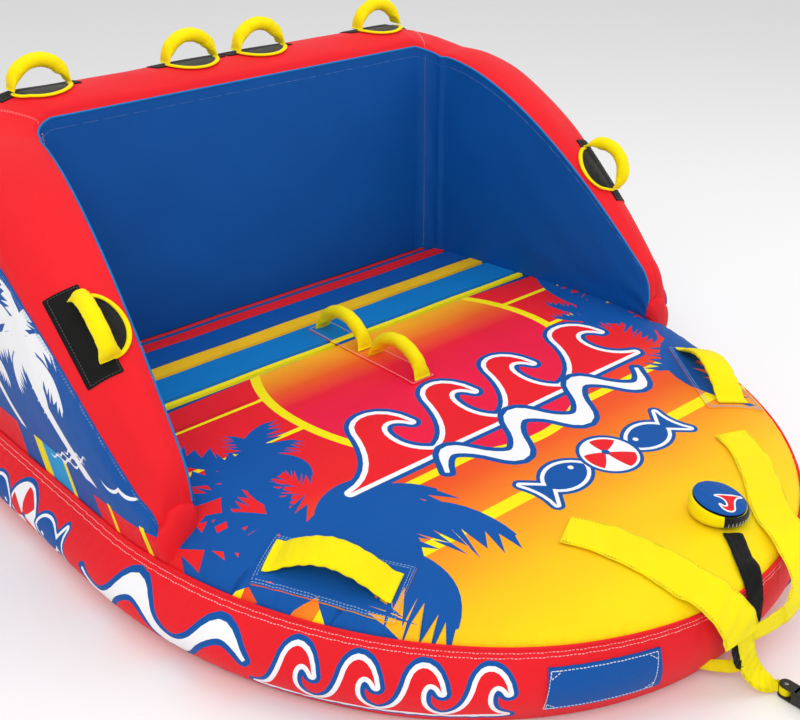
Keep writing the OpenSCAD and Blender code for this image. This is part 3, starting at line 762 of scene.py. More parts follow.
def ball(cx, cy, r, layers):
    """A beach ball: alternate gores around a small cap."""
    layers += [(arc(cx, cy, r + grow, 0, 350, 36), colour) for grow, colour in ((0.014, "blue"), (0.006, "white"))]
    up = np.array([math.cos(math.radians(100)), math.sin(math.radians(100))])
    hub = np.array([cx, cy]) + 0.18 * r * up
    for a in (30, 150, 270):
        rim = arc(cx, cy, r, a, a + 60, 9)
        chord = (rim[0] - rim[-1]) * 0.12
        layers.append((path(curve([hub, mix(hub, rim[0], 0.6) + chord, rim[0]], 6), rim,
                            curve([rim[-1], mix(hub, rim[-1], 0.6) - chord, hub], 6)[:-1]), "red"))
    layers.append((arc(cx, cy + 0.18 * r, 0.16 * r, 0, 330, 12), "blue"))


def coloured(layers, order):
    """Replaces the colour names in layers by places in order."""
    return [(np.asarray(p, float), order.index(c)) for p, c in layers]


# ---------------------------------------------------------------- deck
DECK_OUTLINE = stations(np.linspace(0, LAST, 421)[:-1])[:, :2]
LAP = 0.76  # half width of the stripes, just past the widest seam
STRIPES = [(0.345, 0.92, "blue"), (0.662, 0.671, "red"), (0.606, 0.650, "red"), (0.484, 0.534, "amber"),
           (0.379, 0.484, "light"), (0.357, 0.376, "yellow_print"), (0.246, 0.258, "yellow_print"),
           (0.098, 0.110, "yellow_print"), (-0.182, -0.162, "yellow_print"), (-0.341, -0.312, "yellow_print")]
art = [(bar(-LAP, y0, LAP, y1), colour) for y0, y1, colour in STRIPES]
SUN = (0.051, 0.162)
for r, colour in ((0.379, "yellow_print"), (0.357, "sun")):
    cut = math.degrees(math.asin((STRIPES[0][0] - SUN[1]) / r))
    art.append((arc(*SUN, r, 180 - cut, 360 + cut, 60), colour))


def palm(root, fronds, layers, colour="blue", core=0.05):
    """A palm's crown. Each frond is (tip, bend, width)."""
    layers.append((arc(*root, core, 0, 340, 14), colour))
    for tip, bend, width in fronds:
        layers.append((frond(root, tip, bend, width), colour))


# Left: a small crown beside the arm and a large one under the deck handle. Right: two crowns by the arm.
palm((-0.47, 0.05), [
    ((-0.60, 0.235), 0.18, 0.06), ((-0.66, 0.13), 0.2, 0.05), ((-0.65, 0.03), 0.15, 0.05), ((-0.45, 0.168), -0.12, 0.055),
    ((-0.365, 0.165), 0.15, 0.07), ((-0.36, 0.075), 0.2, 0.055), ((-0.41, -0.04), 0.4, 0.075),
    ((-0.51, -0.095), -0.25, 0.07), ((-0.61, -0.045), -0.15, 0.05)], art, core=0.055)
palm((-0.475, -0.26), [
    ((-0.50, -0.02), 0.28, 0.085), ((-0.635, -0.015), -0.1, 0.07), ((-0.335, -0.105), 0.35, 0.12),
    ((-0.245, -0.215), 0.45, 0.14), ((-0.225, -0.40), 0.5, 0.13), ((-0.47, -0.50), 0.25, 0.13),
    ((-0.60, -0.42), -0.2, 0.13), ((-0.70, -0.21), 0.15, 0.10), ((-0.74, -0.06), 0.12, 0.09),
    ((-0.73, 0.05), 0.08, 0.06)], art, core=0.115)
palm((0.58, 0.06), [
    ((0.50, 0.185), 0.2, 0.05), ((0.61, 0.32), 0.12, 0.07), ((0.70, 0.20), 0.15, 0.06), ((0.455, 0.12), 0.2, 0.05),
    ((0.47, 0.02), -0.2, 0.06), ((0.57, -0.10), 0.25, 0.07), ((0.75, 0.02), 0.2, 0.07), ((0.72, -0.10), -0.25, 0.08)],
     art, core=0.06)
palm((0.655, -0.11), [
    ((0.46, -0.185), 0.3, 0.09), ((0.70, -0.22), 0.25, 0.09), ((0.60, -0.235), -0.3, 0.08), ((0.52, -0.40), -0.5, 0.09),
    ((0.66, -0.40), 0.3, 0.10), ((0.76, -0.02), 0.2, 0.08)], art, core=0.06)

# Middle: curling waves, a swinging ribbon, two fish and a ball, all plain generic shapes.
BORDERS = ((2, "blue"), (1, "white"), (0, "red"))


def bordered(shapes, step):
    """Shapes in red inside joined white and blue borders, each a step wide."""
    return [(grown(p, k * step) if k else p, colour) for k, colour in BORDERS for p in shapes]


WAVES = ((-0.385, 0.235), (-0.165, 0.205), (0.025, 0.205), (0.225, 0.245))  # each wave's x and width
art += bordered([moved(crest(), (x, -0.125 + 0.006 * i), 0, (w, 0.185)) for i, (x, w) in enumerate(WAVES)], 0.011)
ribbon = moved(swell(0, 0.62, 0, 0.048, 3, 0.020, 0.042), (-0.19, -0.185), 3)
outlined(ribbon, "white", art, white=0.001, blue=0.014)
swimmer((-0.095, -0.385), art, 0.15, 0.088, 6)
swimmer((0.328, -0.378), art, 0.15, 0.088, 4, True)
ball(0.118, -0.335, 0.055, art)

DECK_COLOURS = ["deck", "blue", "red", "amber", "light", "yellow_print", "sun", "white"]


def deck_print(name, outline, step, lift=0.0, low=None):
    """A piece of the printed deck, lying lift above its cover."""
    return printed(name, outline, coloured(art, DECK_COLOURS), step, lambda x, y: on_deck(x, y, lift),
                   [M[c] for c in DECK_COLOURS], low and (lambda x, y: on_deck(x, y, low)))


piece(deck_print("deck_cover", DECK_OUTLINE, 0.013), ["deck_top_cover", "deck_bladder"])

# ---------------------------------------------------------------- side band
def band_art():
    """Prints of the left side, with s measured back from the tip, as negative numbers."""
    layers = []
    ball(-1.56, 0.082, 0.05, layers)
    for s, mirror in ((-1.73, False), (-1.39, True)):
        swimmer((s, 0.042), layers, 0.11, 0.08, mirror=mirror, white=0.006, blue=0.012)
    outlined(swell(-1.31, -0.90, 0.080, 0.036, 2, 0.018, 0.036), "white", layers, 0.001, 0.012)
    return layers + bordered([moved(crest(), (s, 0.130), 0, (0.10, -0.100)) for s in (-0.885, -0.78, -0.675, -0.57)], 0.008)


def side_band():
    colours = ["red", "blue", "white"]
    layers = []
    for p, c in band_art():
        layers.append((p + [LOOP, 0], c))
        layers.append(((p * [-1, 1])[::-1], c))
    n = 420
    top = [(s, 0.0) for s in np.linspace(0, LOOP, n)]
    low = [(s, BAND_H) for s in np.linspace(LOOP, 0, n)]
    return printed("side_band", top + low, coloured(layers, colours), 0.013, band, [M[c] for c in colours])


piece(side_band(), ["deck_side_band"])

# ---------------------------------------------------------------- bottom cover
def bottom():
    g = np.linspace(0, LAST, 241)[:-1]
    s = np.interp(g, GS, ARC)
    ring = band(s, np.full_like(s, BAND_H))[:, :2]
    rows = ((1, 0.003), (0.994, 0.0008), (0.97, 0), (0.8, 0), (0.6, 0), (0.4, 0), (0.2, 0), (0.02, 0))
    P = np.array([np.column_stack([mix(HUB, ring, f), np.full(len(s), z)]) for f, z in rows])
    faces = grid_faces(len(rows), len(s), closed_v=True) + [range((len(rows) - 1) * len(s), len(rows) * len(s))]
    return build("bottom_cover", P.reshape(-1, 3), [f[::-1] for f in faces], [M["red"]])


piece(bottom(), ["deck_bottom_cover"])

# ---------------------------------------------------------------- backrest
G0, GC = 13, 28
G1, GD = LAST - G0, LAST - GC


def arm_nose(name, g):
    """The rounded front end of an arm: its whole section drawn in as it runs forwards."""
    loops = path(*(shell(np.full(n, g), np.linspace(0, 1, n), part)
                   for part, n in (("outer", 15), ("rim", 33), ("inner", 15))))
    mid = (loops[0] + loops[-1]) / 2
    rows = []
    for a in np.radians(np.linspace(0, 88, 12)):
        c = math.cos(a)
        p = mid + (loops - mid) * [c ** 0.8, 1, c ** 0.62]
        p[:, 1] = loops[0, 1] - 0.019 * math.sin(a)
        rows.append(p)
    return sheet_of(name, np.array(rows), M["red"])


for name, part, node, g0, g1, nu, nv, colour in (
        ("inner_back", "inner", "inner_back_panel", GC, GD, 90, 26, "inner"),
        ("inner_arm_right", "inner", "inner_arm_panel_right", G0, GC, 90, 26, "inner"),
        ("inner_arm_left", "inner", "inner_arm_panel_left", GD, G1, 90, 26, "inner"),
        ("rim_back", "rim", "rim_band_back", GC, GD, 110, 34, "red"),
        ("rim_right", "rim", "rim_band_right", G0, GC, 90, 34, "red"),
        ("rim_left", "rim", "rim_band_left", GD, G1, 90, 34, "red")):
    piece(panel(name, part, g0, g1, nu, nv, M[colour]), [node])
piece(arm_nose("arm_nose_right", G0))
piece(arm_nose("arm_nose_left", G1))


def outer_surface(side):
    """The outer panel of one arm over (y, z), unrolled round the rear corner as y grows."""
    gs = np.linspace(G0, GC, 400)
    run = run_of(stations(gs)[:, :2]) + ARM_Y

    def at(y, z):
        g = np.interp(y, run, gs)
        A, e, ctrl = sections(g)
        ts = np.linspace(0, 3, 31)
        zs = np.stack([catmull(ctrl[:, :4], np.full(len(g), t))[:, 1] for t in ts], 1)
        t = np.array([np.interp(zz, row, ts) for zz, row in zip(z, zs)])
        return shell(g if side > 0 else LAST - g, t / 3, "outer")

    top = sections(gs)[2][:, 3, 1]
    return at, run, top


def outer_panel(name, side):
    at, run, top = outer_surface(side)
    ys = np.linspace(ARM_Y, run[-1], 90)
    outline = [(y, SEAM_Z + 0.001) for y in ys] + [(y, float(np.interp(y, run, top))) for y in ys[::-1]]
    # stripes behind the deck, low on the panel
    z0, z1, z2 = 0.16, 0.262, 0.24
    layers = [(np.array([(-0.02, z0), (0.93, z0), (0.70, 0.255), (0.30, 0.255), (0.20, 0.232), (-0.02, 0.232)]), "red")]
    layers += [(bar(y0, z0, y1, z), colour) for y0, y1, z, colour in (
        (0.19, 0.50, z1, "blue"), (0.385, 0.42, z1, "yellow_print"), (0.30, 0.385, z1, "cyan"),
        (0.285, 0.30, z1, "yellow_print"), (0.125, 0.137, z2, "yellow_print"), (0.02, 0.034, z2, "yellow_print"))]
    # two palms, ripples and a bird in white
    palm((0.36, 0.47), [
        ((0.20, 0.50), -0.35, 0.05), ((0.235, 0.395), -0.3, 0.05), ((0.30, 0.36), -0.2, 0.045),
        ((0.42, 0.37), 0.25, 0.045), ((0.50, 0.42), 0.3, 0.05), ((0.50, 0.53), 0.3, 0.055),
        ((0.42, 0.60), 0.25, 0.05), ((0.31, 0.575), -0.3, 0.045)], layers, "white", 0.035)
    layers.append((path(curve([(0.345, 0.47), (0.33, 0.40), (0.25, 0.33), (0.16, z1)], 12),
                        curve([(0.205, z1), (0.28, 0.33), (0.365, 0.40), (0.385, 0.47)], 12)), "white"))
    palm((0.56, 0.40), [
        ((0.46, 0.46), -0.3, 0.04), ((0.47, 0.36), -0.3, 0.04), ((0.56, 0.31), 0.2, 0.04), ((0.65, 0.37), 0.3, 0.045),
        ((0.66, 0.46), 0.3, 0.045), ((0.57, 0.51), 0.2, 0.04)], layers, "white", 0.03)
    layers.append((path(curve([(0.55, 0.40), (0.54, 0.34), (0.49, 0.30), (0.45, z1)], 10),
                        curve([(0.475, z1), (0.52, 0.30), (0.56, 0.34), (0.572, 0.40)], 10)), "white"))
    for k in range(3):
        ripple = swell(0, 0.16 - 0.03 * k, 0, 0.005, 3, 0.004, 0.007)
        layers.append((moved(ripple, (0.20 - 0.012 * k, 0.285 + 0.016 * k), -14), "white"))
    wings = beziers(8, (0, 0), [(0.02, 0.022), (0.04, 0.02), (0.055, 0.002)],
                    [(0.075, 0.016), (0.10, 0.012), (0.125, -0.02)], [(0.10, 0.004), (0.078, 0.008), (0.056, -0.008)],
                    [(0.04, 0.012), (0.02, 0.014), (0, 0)])[:-1]
    layers.append((moved(wings, (0.135, 0.295), 180), "white"))
    colours = ["blue", "red", "yellow_print", "cyan", "white"]
    return printed(name, outline, coloured(layers, colours), 0.014, at, [M[c] for c in colours])


piece(outer_panel("outer_arm_right", 1), ["outer_arm_panel_right"])
piece(outer_panel("outer_arm_left", -1), ["outer_arm_panel_left"])
piece(panel("rear_cover", "outer", GC, GD, 110, 40, M["blue"]), ["rear_panel", "backrest_bladder"])

# ---------------------------------------------------------------- draping over the backrest
def skin_of(names):
    """One search tree over the faces of several pieces."""
    verts, faces = [], []
    for name in names:
        mesh = bpy.data.objects[name].data
        faces += [tuple(len(verts) + i for i in f.vertices) for f in mesh.polygons]
        verts += [v.co.copy() for v in mesh.vertices]
    return BVHTree.FromPolygons(verts, faces)


SKIN = skin_of(["outer_arm_left", "outer_arm_right", "rear_cover", "rim_back", "rim_left", "rim_right"])


def up_of(place):
    return place.to_3x3() @ Vector((0, 0, 1))


def draped(place, lift):
    """A surface laid over the backrest from above a handle's frame."""
    down = -up_of(place)

    def at(x, y):
        out = []
        for a, b in zip(np.ravel(x), np.ravel(y)):
            start = place @ Vector((float(a), float(b), 0.06))
            hit = SKIN.ray_cast(start, down, 0.2)[0]
            if hit is None:
                hit = start + down * 0.06
            out.append(tuple(hit - down * lift))
        return np.array(out)

    return at


def turned(axis, degrees):
    return Matrix.Rotation(math.radians(degrees), 4, axis)


ON_RIGHT_ARM = Matrix.Translation((0.694, 0.207, 0.551)) @ turned("X", 41) @ turned("Z", -90) @ turned("X", -17)
MIRROR = Matrix.Diagonal((-1, 1, 1, 1))
FRAMES = {f"back_handle_{i + 1}": Matrix.Translation((x, 0.790, 0.835))
          for i, x in enumerate((-0.468, -0.097, 0.097, 0.468))}
FRAMES["arm_handle_right"] = ON_RIGHT_ARM
FRAMES["arm_handle_left"] = MIRROR @ ON_RIGHT_ARM


def rounded(x0, y0, x1, y1, r, step=0.008):
    """A rectangle with round corners and points all along its edge."""
    corners = ((x1 - r, y1 - r), (x0 + r, y1 - r), (x0 + r, y0 + r), (x1 - r, y0 + r))
    return dense(path(*(arc(*c, r, 90 * k, 90 * k + 90, 5) for k, c in enumerate(corners))), step)
def cord(name, P, r, mat, closed=False, flat=1.0, sides=8):
    """A round cord along points P, pressed flat in Z."""
    P = np.asarray(P, float)
    T = np.roll(P, -1, axis=0) - np.roll(P, 1, axis=0) if closed else np.gradient(P, axis=0)
    T = unit(T)
    side = unit(np.cross(T, [0, 0, 1]))
    up = np.cross(side, T)
    a = np.linspace(0, TAU, sides, endpoint=False)[None, :, None]
    G = P[:, None] + r * (np.cos(a) * side[:, None] + flat * np.sin(a) * up[:, None])
    obj = sheet_of(name, G, mat, closed_u=closed, closed_v=True)
    if not closed:
        cap_ends(obj, len(P), sides)
    return obj


def cap_ends(obj, rows, sides):
    me = obj.data
    verts = [tuple(v.co) for v in me.vertices]
    faces = [tuple(f.vertices) for f in me.polygons]
    faces += [tuple(range(sides))[::-1], tuple(range((rows - 1) * sides, rows * sides))]
    me.clear_geometry()
    me.from_pydata(verts, [], faces)
    for f in me.polygons[:-2]:
        f.use_smooth = True
    me.update()


def stitches(name, lines, mat, length=0.0042, pitch=0.0066, width=0.0012, height=0.0008, body=BODY):
    """Raised thread along lines on surfaces. Each line is (surface, u, v), where surface takes (u, v, lift)."""
    verts, faces = [], []
    for f, u, v in lines:
        u, v = np.asarray(u, float), np.asarray(v, float)
        P = f(u, v, 0.0)
        s = run_of(P)
        start = np.arange(int(s[-1] / pitch)) * pitch + 0.001
        ends = []
        for a in (start, start + length):
            uu, vv = np.interp(a, s, u), np.interp(a, s, v)
            q = f(uu, vv, 0.0)
            ends.append((q, unit(f(uu, vv, 0.002) - q)))
        d = unit(ends[1][0] - ends[0][0])
        for i in range(len(start)):
            base = len(verts)
            for q, n in ends:
                side = np.cross(d[i], n[i]) * width / 2
                low, high = q[i] - n[i] * 0.0006, q[i] + n[i] * height
                verts += [low - side, low + side, high + side * 0.6, high - side * 0.6]
            box = ((3, 2, 6, 7), (0, 3, 7, 4), (2, 1, 5, 6), (0, 1, 2, 3), (7, 6, 5, 4))
            faces += [tuple(base + k for k in f4) for f4 in box]
    return piece(build(name, verts, faces, [mat], smooth=False), body=body)


# ---------------------------------------------------------------- handles on the rim
def sleeve(name, r, half, tube, leg, place, seed, flare=1.3, pin=0.006):
    """A padded arch: fabric over foam, gathered and flattened where it is sewn down."""
    rng = np.random.default_rng(seed)
    half = math.radians(half)
    x0, zc = r * math.sin(half), leg - r * math.cos(half)
    feet = [(x0 + 0.004, 0.0), (x0 + 0.0015, leg * 0.35), (x0 + 0.0005, leg * 0.7)]
    crown = [(r * math.sin(a), zc + r * math.cos(a)) for a in np.linspace(-half, half, 40)]
    pts = np.array([(-x, z) for x, z in feet] + crown + feet[::-1])
    s = run_of(pts)
    nu, nv = 110, 32
    ss = np.linspace(0, s[-1], nu)
    c = np.stack([np.interp(ss, s, pts[:, 0]), np.interp(ss, s, pts[:, 1])], -1)
    for _ in range(3):
        c[1:-1] = (c[:-2] + 2 * c[1:-1] + c[2:]) / 4
    n = left_of(unit(np.gradient(c, axis=0)))
    e = np.minimum(ss, s[-1] - ss)
    flat = 1 - ease(e / 0.040)
    th = np.linspace(0, TAU, nv, endpoint=False)
    a = tube * 0.93 * (1 - flat) + 0.0024 * flat
    b = tube * (1 - flat) + tube * flare * flat
    ph = rng.uniform(0, TAU, 6)
    S, TH = grid(ss, th)
    wave = 0.016 * np.sin(S * 210 + 2.2 * np.sin(TH + ph[0]) + ph[1]) + 0.012 * np.sin(S * 95 + 3 * TH + ph[2])
    wave += 0.05 * (flat * (1 - flat) * 4)[:, None] * np.sin(6 * TH + ph[3])
    for _ in range(9):
        at, wide, around = rng.uniform(0.02, s[-1] - 0.02), rng.uniform(0.0016, 0.003), rng.uniform(0, TAU)
        wave -= 0.05 * np.exp(-((S - at - 0.006 * np.sin(TH - around)) / wide) ** 2) * (0.5 + 0.5 * np.cos(TH - around))
    seam = 0.07 * np.exp(-(((TH - 1.5 * math.pi + math.pi) % TAU - math.pi) / 0.12) ** 2)
    R = 1 + wave + seam * (1 - flat)[:, None]
    across = b[:, None] * np.cos(TH) * R
    along = a[:, None] * np.sin(TH) * R
    G = np.stack([c[:, :1] + n[:, :1] * along, -across, c[:, 1:] + n[:, 1:] * along + pin], -1)
    G = put(place, G)
    obj = sheet_of(name, G if place.determinant() > 0 else G[:, ::-1], M["sleeve"], closed_v=True)
    cap_ends(obj, nu, nv)
    return obj


def sewn(obj, name):
    """A padded arch, baked in place where it was built; the CAD grip it stands for is hidden."""
    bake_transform(obj)
    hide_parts(name + "_grip")


def rim_handle(name, seed):
    """A padded arch on a sewn patch, with a bound knuckle guard."""
    place = FRAMES[name]
    sewn(sleeve(name + "_sleeve", 0.066, 70, 0.0165, 0.012, place, seed), name)
    patch = rounded(-0.093, -0.012, 0.093, 0.058 if name.startswith("arm") else 0.036, 0.003)
    guard = dense(arc(0, 0, 1, 180, 360, 40) * [0.062, 0.046], 0.007) + [0, -0.010]
    base = printed(name + "_base", patch, [], 0.012, draped(place, 0.0022), [M["black_patch"]], draped(place, -0.001))
    piece(base, [name + "_patch"])
    shield = printed(name + "_shield", guard, [], 0.010, draped(place, 0.0045), [M["neoprene"]], draped(place, 0.0))
    piece(shield, [name + "_guard"])
    if place.determinant() < 0:
        base.data.flip_normals()
        shield.data.flip_normals()
    bound = arc(0, 0, 1, 180, 360, 60) * [0.064, 0.050] + [0, -0.008]
    P = draped(place, 0.005)(bound[:, 0], bound[:, 1])
    piece(cord(name + "_binding", P, 0.0052, M["sleeve"], flat=0.62, sides=10))


for k, name in enumerate(FRAMES):
    rim_handle(name, 11 + k)

# ---------------------------------------------------------------- handle on the seat
for k, (name, y) in enumerate((("seat_handle_rear", 0.366), ("seat_handle_front", 0.174))):
    place = Matrix.Translation((0, y, 0.250)) @ turned("Z", 90)
    sewn(sleeve(name + "_sleeve", 0.084, 65, 0.0165, 0.012, place, 31 + k, 1.35, 0.004), name)


PATCH_LIFT, PATCH_FOOT = 0.0022, -0.001  # a patch's face above the deck's cover, and its edge just under it
base = rounded(-0.034, 0.088, 0.034, 0.462, 0.004, 0.012)
piece(deck_print("seat_base", base, 0.014, PATCH_LIFT, PATCH_FOOT), ["seat_handle_base"])

# ---------------------------------------------------------------- flat handles on the deck
PATCH = np.array([(-0.566, -0.142), (-0.429, -0.354), (-0.535, -0.419), (-0.654, -0.186)])
PAD_ENDS = np.array([(-0.604, -0.170), (-0.487, -0.376)])


def deck_pad(name, ends):
    """A flat padded handle, arched off the deck and sewn down at both ends."""
    d = ends[1] - ends[0]
    L = np.linalg.norm(d)
    d /= L
    nu, nv = 70, 24
    U, TH = grid(np.linspace(0, 1, nu), np.linspace(0, TAU, nv, endpoint=False))
    flat = 1 - ease(np.minimum(U, 1 - U) * L / 0.045)
    half_w = 0.033 + 0.002 * flat + 0.0008 * np.sin(U * 60)
    half_t = 0.0062 * (1 - flat) + 0.0014 * flat
    cosq, sinq = np.cos(TH), np.sin(TH)
    across = half_w * np.sign(cosq) * np.abs(cosq) ** 0.55
    wrinkles = 0.10 * np.sin(U * 43 + 2 * np.sin(across * 90)) + 0.08 * np.sin(U * 91 + across * 120)
    lift = half_t * np.sign(sinq) * np.abs(sinq) ** 0.7 * (1 + wrinkles)
    arch = 0.034 * np.sin(math.pi * np.clip((U - 0.06) / 0.88, 0, 1)) ** 1.15
    xy = ends[0] + d * (U * L)[..., None] + left_of(d) * across[..., None]
    G = on_deck(xy[..., 0], xy[..., 1], 0.0045 + half_t + arch + lift)
    obj = sheet_of(name, G, M["sleeve"], closed_v=True)
    cap_ends(obj, nu, nv)
    return obj


for side, word in ((-1, "left"), (1, "right")):
    quad = PATCH * [-side, 1]
    quad = dense(grown(quad if side < 0 else quad[::-1], 0.004), 0.012)
    piece(deck_print(f"deck_patch_{word}", quad, 0.014, PATCH_LIFT, PATCH_FOOT),
          [f"deck_handle_patch_{word}"])
    piece(deck_pad(f"deck_pad_{word}", PAD_ENDS * [-side, 1]), [f"deck_handle_{word}"])

# ---------------------------------------------------------------- webbing
def ribbon_surface(points, dirs, widths, on=0):
    """A strap's middle surface over t along and v across, -1 to 1. Its first stations lie on the deck."""
    widths = np.asarray(widths, float)[:, None]

    def at(t, v, lift=0.0):
        p, d, w = spline(points, t), spline(dirs, t), spline(widths, t)
        d = unit(d)
        q = p + d * w * v[:, None] / 2
        along = spline(points, np.minimum(t + 0.02, len(points) - 1)) - spline(points, np.maximum(t - 0.02, 0))
        n = unit(np.cross(along, d))
        n = np.where(n[:, 2:] < 0, -n, n) if on else n
        if on:
            deck = deck_z(q[:, 0], q[:, 1]) + 0.003
            near = ease(from_edge(q[:, 0], q[:, 1]) / 0.03) * (1 - ease((t - on + 0.5) / 1.0))
            q[:, 2] = np.where(from_edge(q[:, 0], q[:, 1]) > 0, np.maximum(mix(q[:, 2], deck, near), deck), q[:, 2])
            n = np.where((t < on + 0.5)[:, None], [0, 0, 1.0], n)
        return q + n * np.reshape(lift, (-1, 1))

    return at


def strap(name, points, dirs, widths, thick, colour, nodes=(), on=0, fold=0.0, body=BODY, rows=90, cols=14, bend=None):
    """Flat webbing with rounded edges and a soft fold line along it; if bend is given, the strap is baked in place
    instead of attached to body, and the points in bend are not read.
    """
    f = ribbon_surface(points, dirs, widths, on)
    T, V = grid(np.linspace(0, len(points) - 1, rows), np.linspace(-1, 1, cols))
    edge = np.sqrt(np.clip(1 - ((np.abs(V) - 0.9) / 0.1).clip(0, 1) ** 2, 0, 1))
    soft = 0.0008 * np.sin(T * 9 + 3 * V) + 3 * fold * np.sin(4 * T + 2.2 * V) * np.sin(1.7 * T) ** 2
    soft += fold * np.exp(-((V + 0.62) / 0.06) ** 2) + fold * 0.7 * ease((V + 0.62) / 0.05)
    top, low = (f(T.ravel(), V.ravel(), lift.ravel()).reshape(rows, cols, 3)
                for lift in (soft + thick / 2 * edge + thick / 2, thick / 2 - thick / 2 * edge))
    obj = sheet_of(name, np.concatenate([top, low[:, ::-1]], 1), M[colour], closed_v=True, uv=True)
    cap_strap(obj, rows, 2 * cols)
    if bend:
        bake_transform(obj)
        if nodes:
            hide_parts(*nodes)
    else:
        piece(obj, nodes, body)
    return f


def cap_strap(obj, rows, n):
    """Closes both ends of a strap with rungs across its thickness."""
    me = obj.data
    base = [tuple(v.co) for v in me.vertices]
    faces = [tuple(f.vertices) for f in me.polygons]
    uv = np.zeros(len(me.loops) * 2, np.float32)
    me.uv_layers[0].data.foreach_get("uv", uv)
    corner = np.zeros(len(me.loops), np.int32)
    me.loops.foreach_get("vertex_index", corner)
    per = np.zeros((len(base), 2), np.float32)
    per[corner] = uv.reshape(-1, 2)
    for r, order in ((0, 1), (rows - 1, -1)):
        for c in range(n // 2 - 1):
            faces.append((r * n + c, r * n + n - 1 - c, r * n + n - 2 - c, r * n + c + 1)[::order])
    me.clear_geometry()
    me.from_pydata(base, [], faces)
    layer = me.uv_layers.new(name="UVMap")
    loops = np.zeros(len(me.loops), np.int32)
    me.loops.foreach_get("vertex_index", loops)
    layer.data.foreach_set("uv", per[loops].ravel())
    me.polygons.foreach_set("use_smooth", np.full(len(me.polygons), True))
    me.update()


def deck_points(*places):
    return [(x, y, float(deck_z(np.array([x]), np.array([y]))[0])) for x, y in places]


# Each strap is a run of points with its direction across and its width at each.
LEFT = deck_points((-0.145, -0.450), (-0.119, -0.507), (-0.104, -0.578), (-0.097, -0.645)) + [
    (-0.090, -0.700, 0.198), (-0.080, -0.742, 0.182), (-0.066, -0.770, 0.150), (-0.054, -0.779, 0.112)]
LEFT_ACROSS = [(1, 0.5, 0), (1, 0.35, 0), (1, 0.25, 0), (1, 0.2, 0), (1, 0.25, 0.02), (1, 0.2, 0.04),
               (1, 0.1, 0.06), (1, 0.02, -0.04)]
left_strap = strap("tow_strap_wide_left", LEFT, LEFT_ACROSS, [0.086, 0.092, 0.094, 0.094, 0.096, 0.098, 0.102, 0.106],
                   0.003, "sleeve", ["tow_strap_left"], on=4, fold=0.0006)
RIGHT = deck_points((0.371, -0.448), (0.338, -0.512), (0.273, -0.588), (0.205, -0.654)) + [
    (0.170, -0.706, 0.199), (0.146, -0.752, 0.174), (0.112, -0.781, 0.136), (0.056, -0.790, 0.112),
    (0.004, -0.784, 0.105), (-0.034, -0.7745, 0.104)]
RIGHT_ACROSS = [(0.9, -0.4, 0), (0.8, -0.6, 0), (0.7, -0.7, 0), (0.7, -0.7, -0.03), (0.8, -0.55, -0.15),
                (0.85, -0.4, -0.35), (0.75, -0.1, -0.7), (0.4, 0, -0.95), (0.25, 0, -1), (0.2, 0, -1)]
right_strap = strap("tow_strap_wide_right", RIGHT, RIGHT_ACROSS,
                    [0.074, 0.076, 0.078, 0.082, 0.088, 0.090, 0.074, 0.052, 0.042, 0.038],
                    0.003, "sleeve", ["tow_strap_right"], on=4, fold=0.0006)
strap("tow_strap_inner", deck_points((0.078, -0.655), (0.056, -0.684)) + [
    (0.034, -0.712, 0.198), (0.018, -0.738, 0.186), (0.002, -0.764, 0.150), (-0.012, -0.775, 0.112)],
      [(0.78, -0.62, 0), (0.78, -0.62, 0.05), (0.85, -0.5, -0.05), (0.95, -0.3, 0.15), (1, -0.1, 0.1), (1, 0, 0)],
      [0.038, 0.036, 0.038, 0.040, 0.034, 0.030], 0.002, "black_web", ["tow_strap_centre"], on=2, rows=60, cols=10)
strap("tow_strap_under", [(-0.088, -0.690, 0.030), (-0.072, -0.728, 0.034), (-0.052, -0.766, 0.043),
                          (-0.034, -0.783, 0.052)],
      [(0, 0.25, 1), (0, 0.2, 1), (-0.1, 0.2, 1), (-0.4, 0.1, 1)], [0.020, 0.024, 0.028, 0.028],
      0.003, "yellow_web", ["tow_strap_lower"], rows=40, cols=10)
strap("tow_strap_join", [(-0.050, -0.772, 0.140), (-0.046, -0.778, 0.110), (-0.040, -0.783, 0.082),
                         (-0.034, -0.787, 0.056)],
      [(1, 0.05, 0), (1, 0.05, 0), (1, 0, 0.1), (1, 0, 0.1)], [0.050, 0.048, 0.044, 0.044],
      0.003, "yellow_web", rows=40, cols=10)
strap("tow_strap_keeper", [(-0.072, -0.772, 0.118), (-0.070, -0.779, 0.090), (-0.064, -0.784, 0.068),
                           (-0.052, -0.786, 0.056)],
      [(1, 0, 0), (1, 0, 0), (1, 0, 0.3), (1, 0, 0.5)], [0.020, 0.020, 0.019, 0.018], 0.002, "black_web", rows=30, cols=8)

# The tail twists a quarter turn from the nose to the post of the connector.
POST_Y, EYE_Y, CONN_MID = -0.846, -0.955, 0.013
TAIL = [(-0.034, -0.784, 0.058), (-0.032, -0.795, 0.042), (-0.025, -0.809, 0.028), (-0.013, -0.823, 0.019),
        (-0.006, -0.8345, 0.0135)]
UNDER_TAIL = [(x - 0.001, y, z - 0.0045) for x, y, z in TAIL[:-1]] + [(0.006, -0.8345, CONN_MID)]
TURN = [(1, 0, 0), (1, 0, 0.1), (0.8, 0.2, 0.5), (0.4, 0.3, 0.9), (0, 0.1, 1)]
TAIL_WIDTHS = [0.050, 0.046, 0.036, 0.026, 0.018]
for name, points, nodes in (("tow_tail_upper", TAIL, ["tow_tail"]), ("tow_tail_lower", UNDER_TAIL, [])):
    strap(name, points, TURN, TAIL_WIDTHS, 0.0032, "yellow_web", nodes, body="tow_tail", rows=80, bend=(TAIL[0], TAIL[3]))
loop = [(0.0085 * math.cos(a), POST_Y + 0.0085 * math.sin(a), CONN_MID)
        for a in np.linspace(0.62 * math.pi, 2.38 * math.pi, 15)]
strap("tow_tail_loop", loop, [(0, 0, 1)] * 15, [0.0175] * 15, 0.0024, "yellow_web", body="tow_tail", rows=70, cols=8)

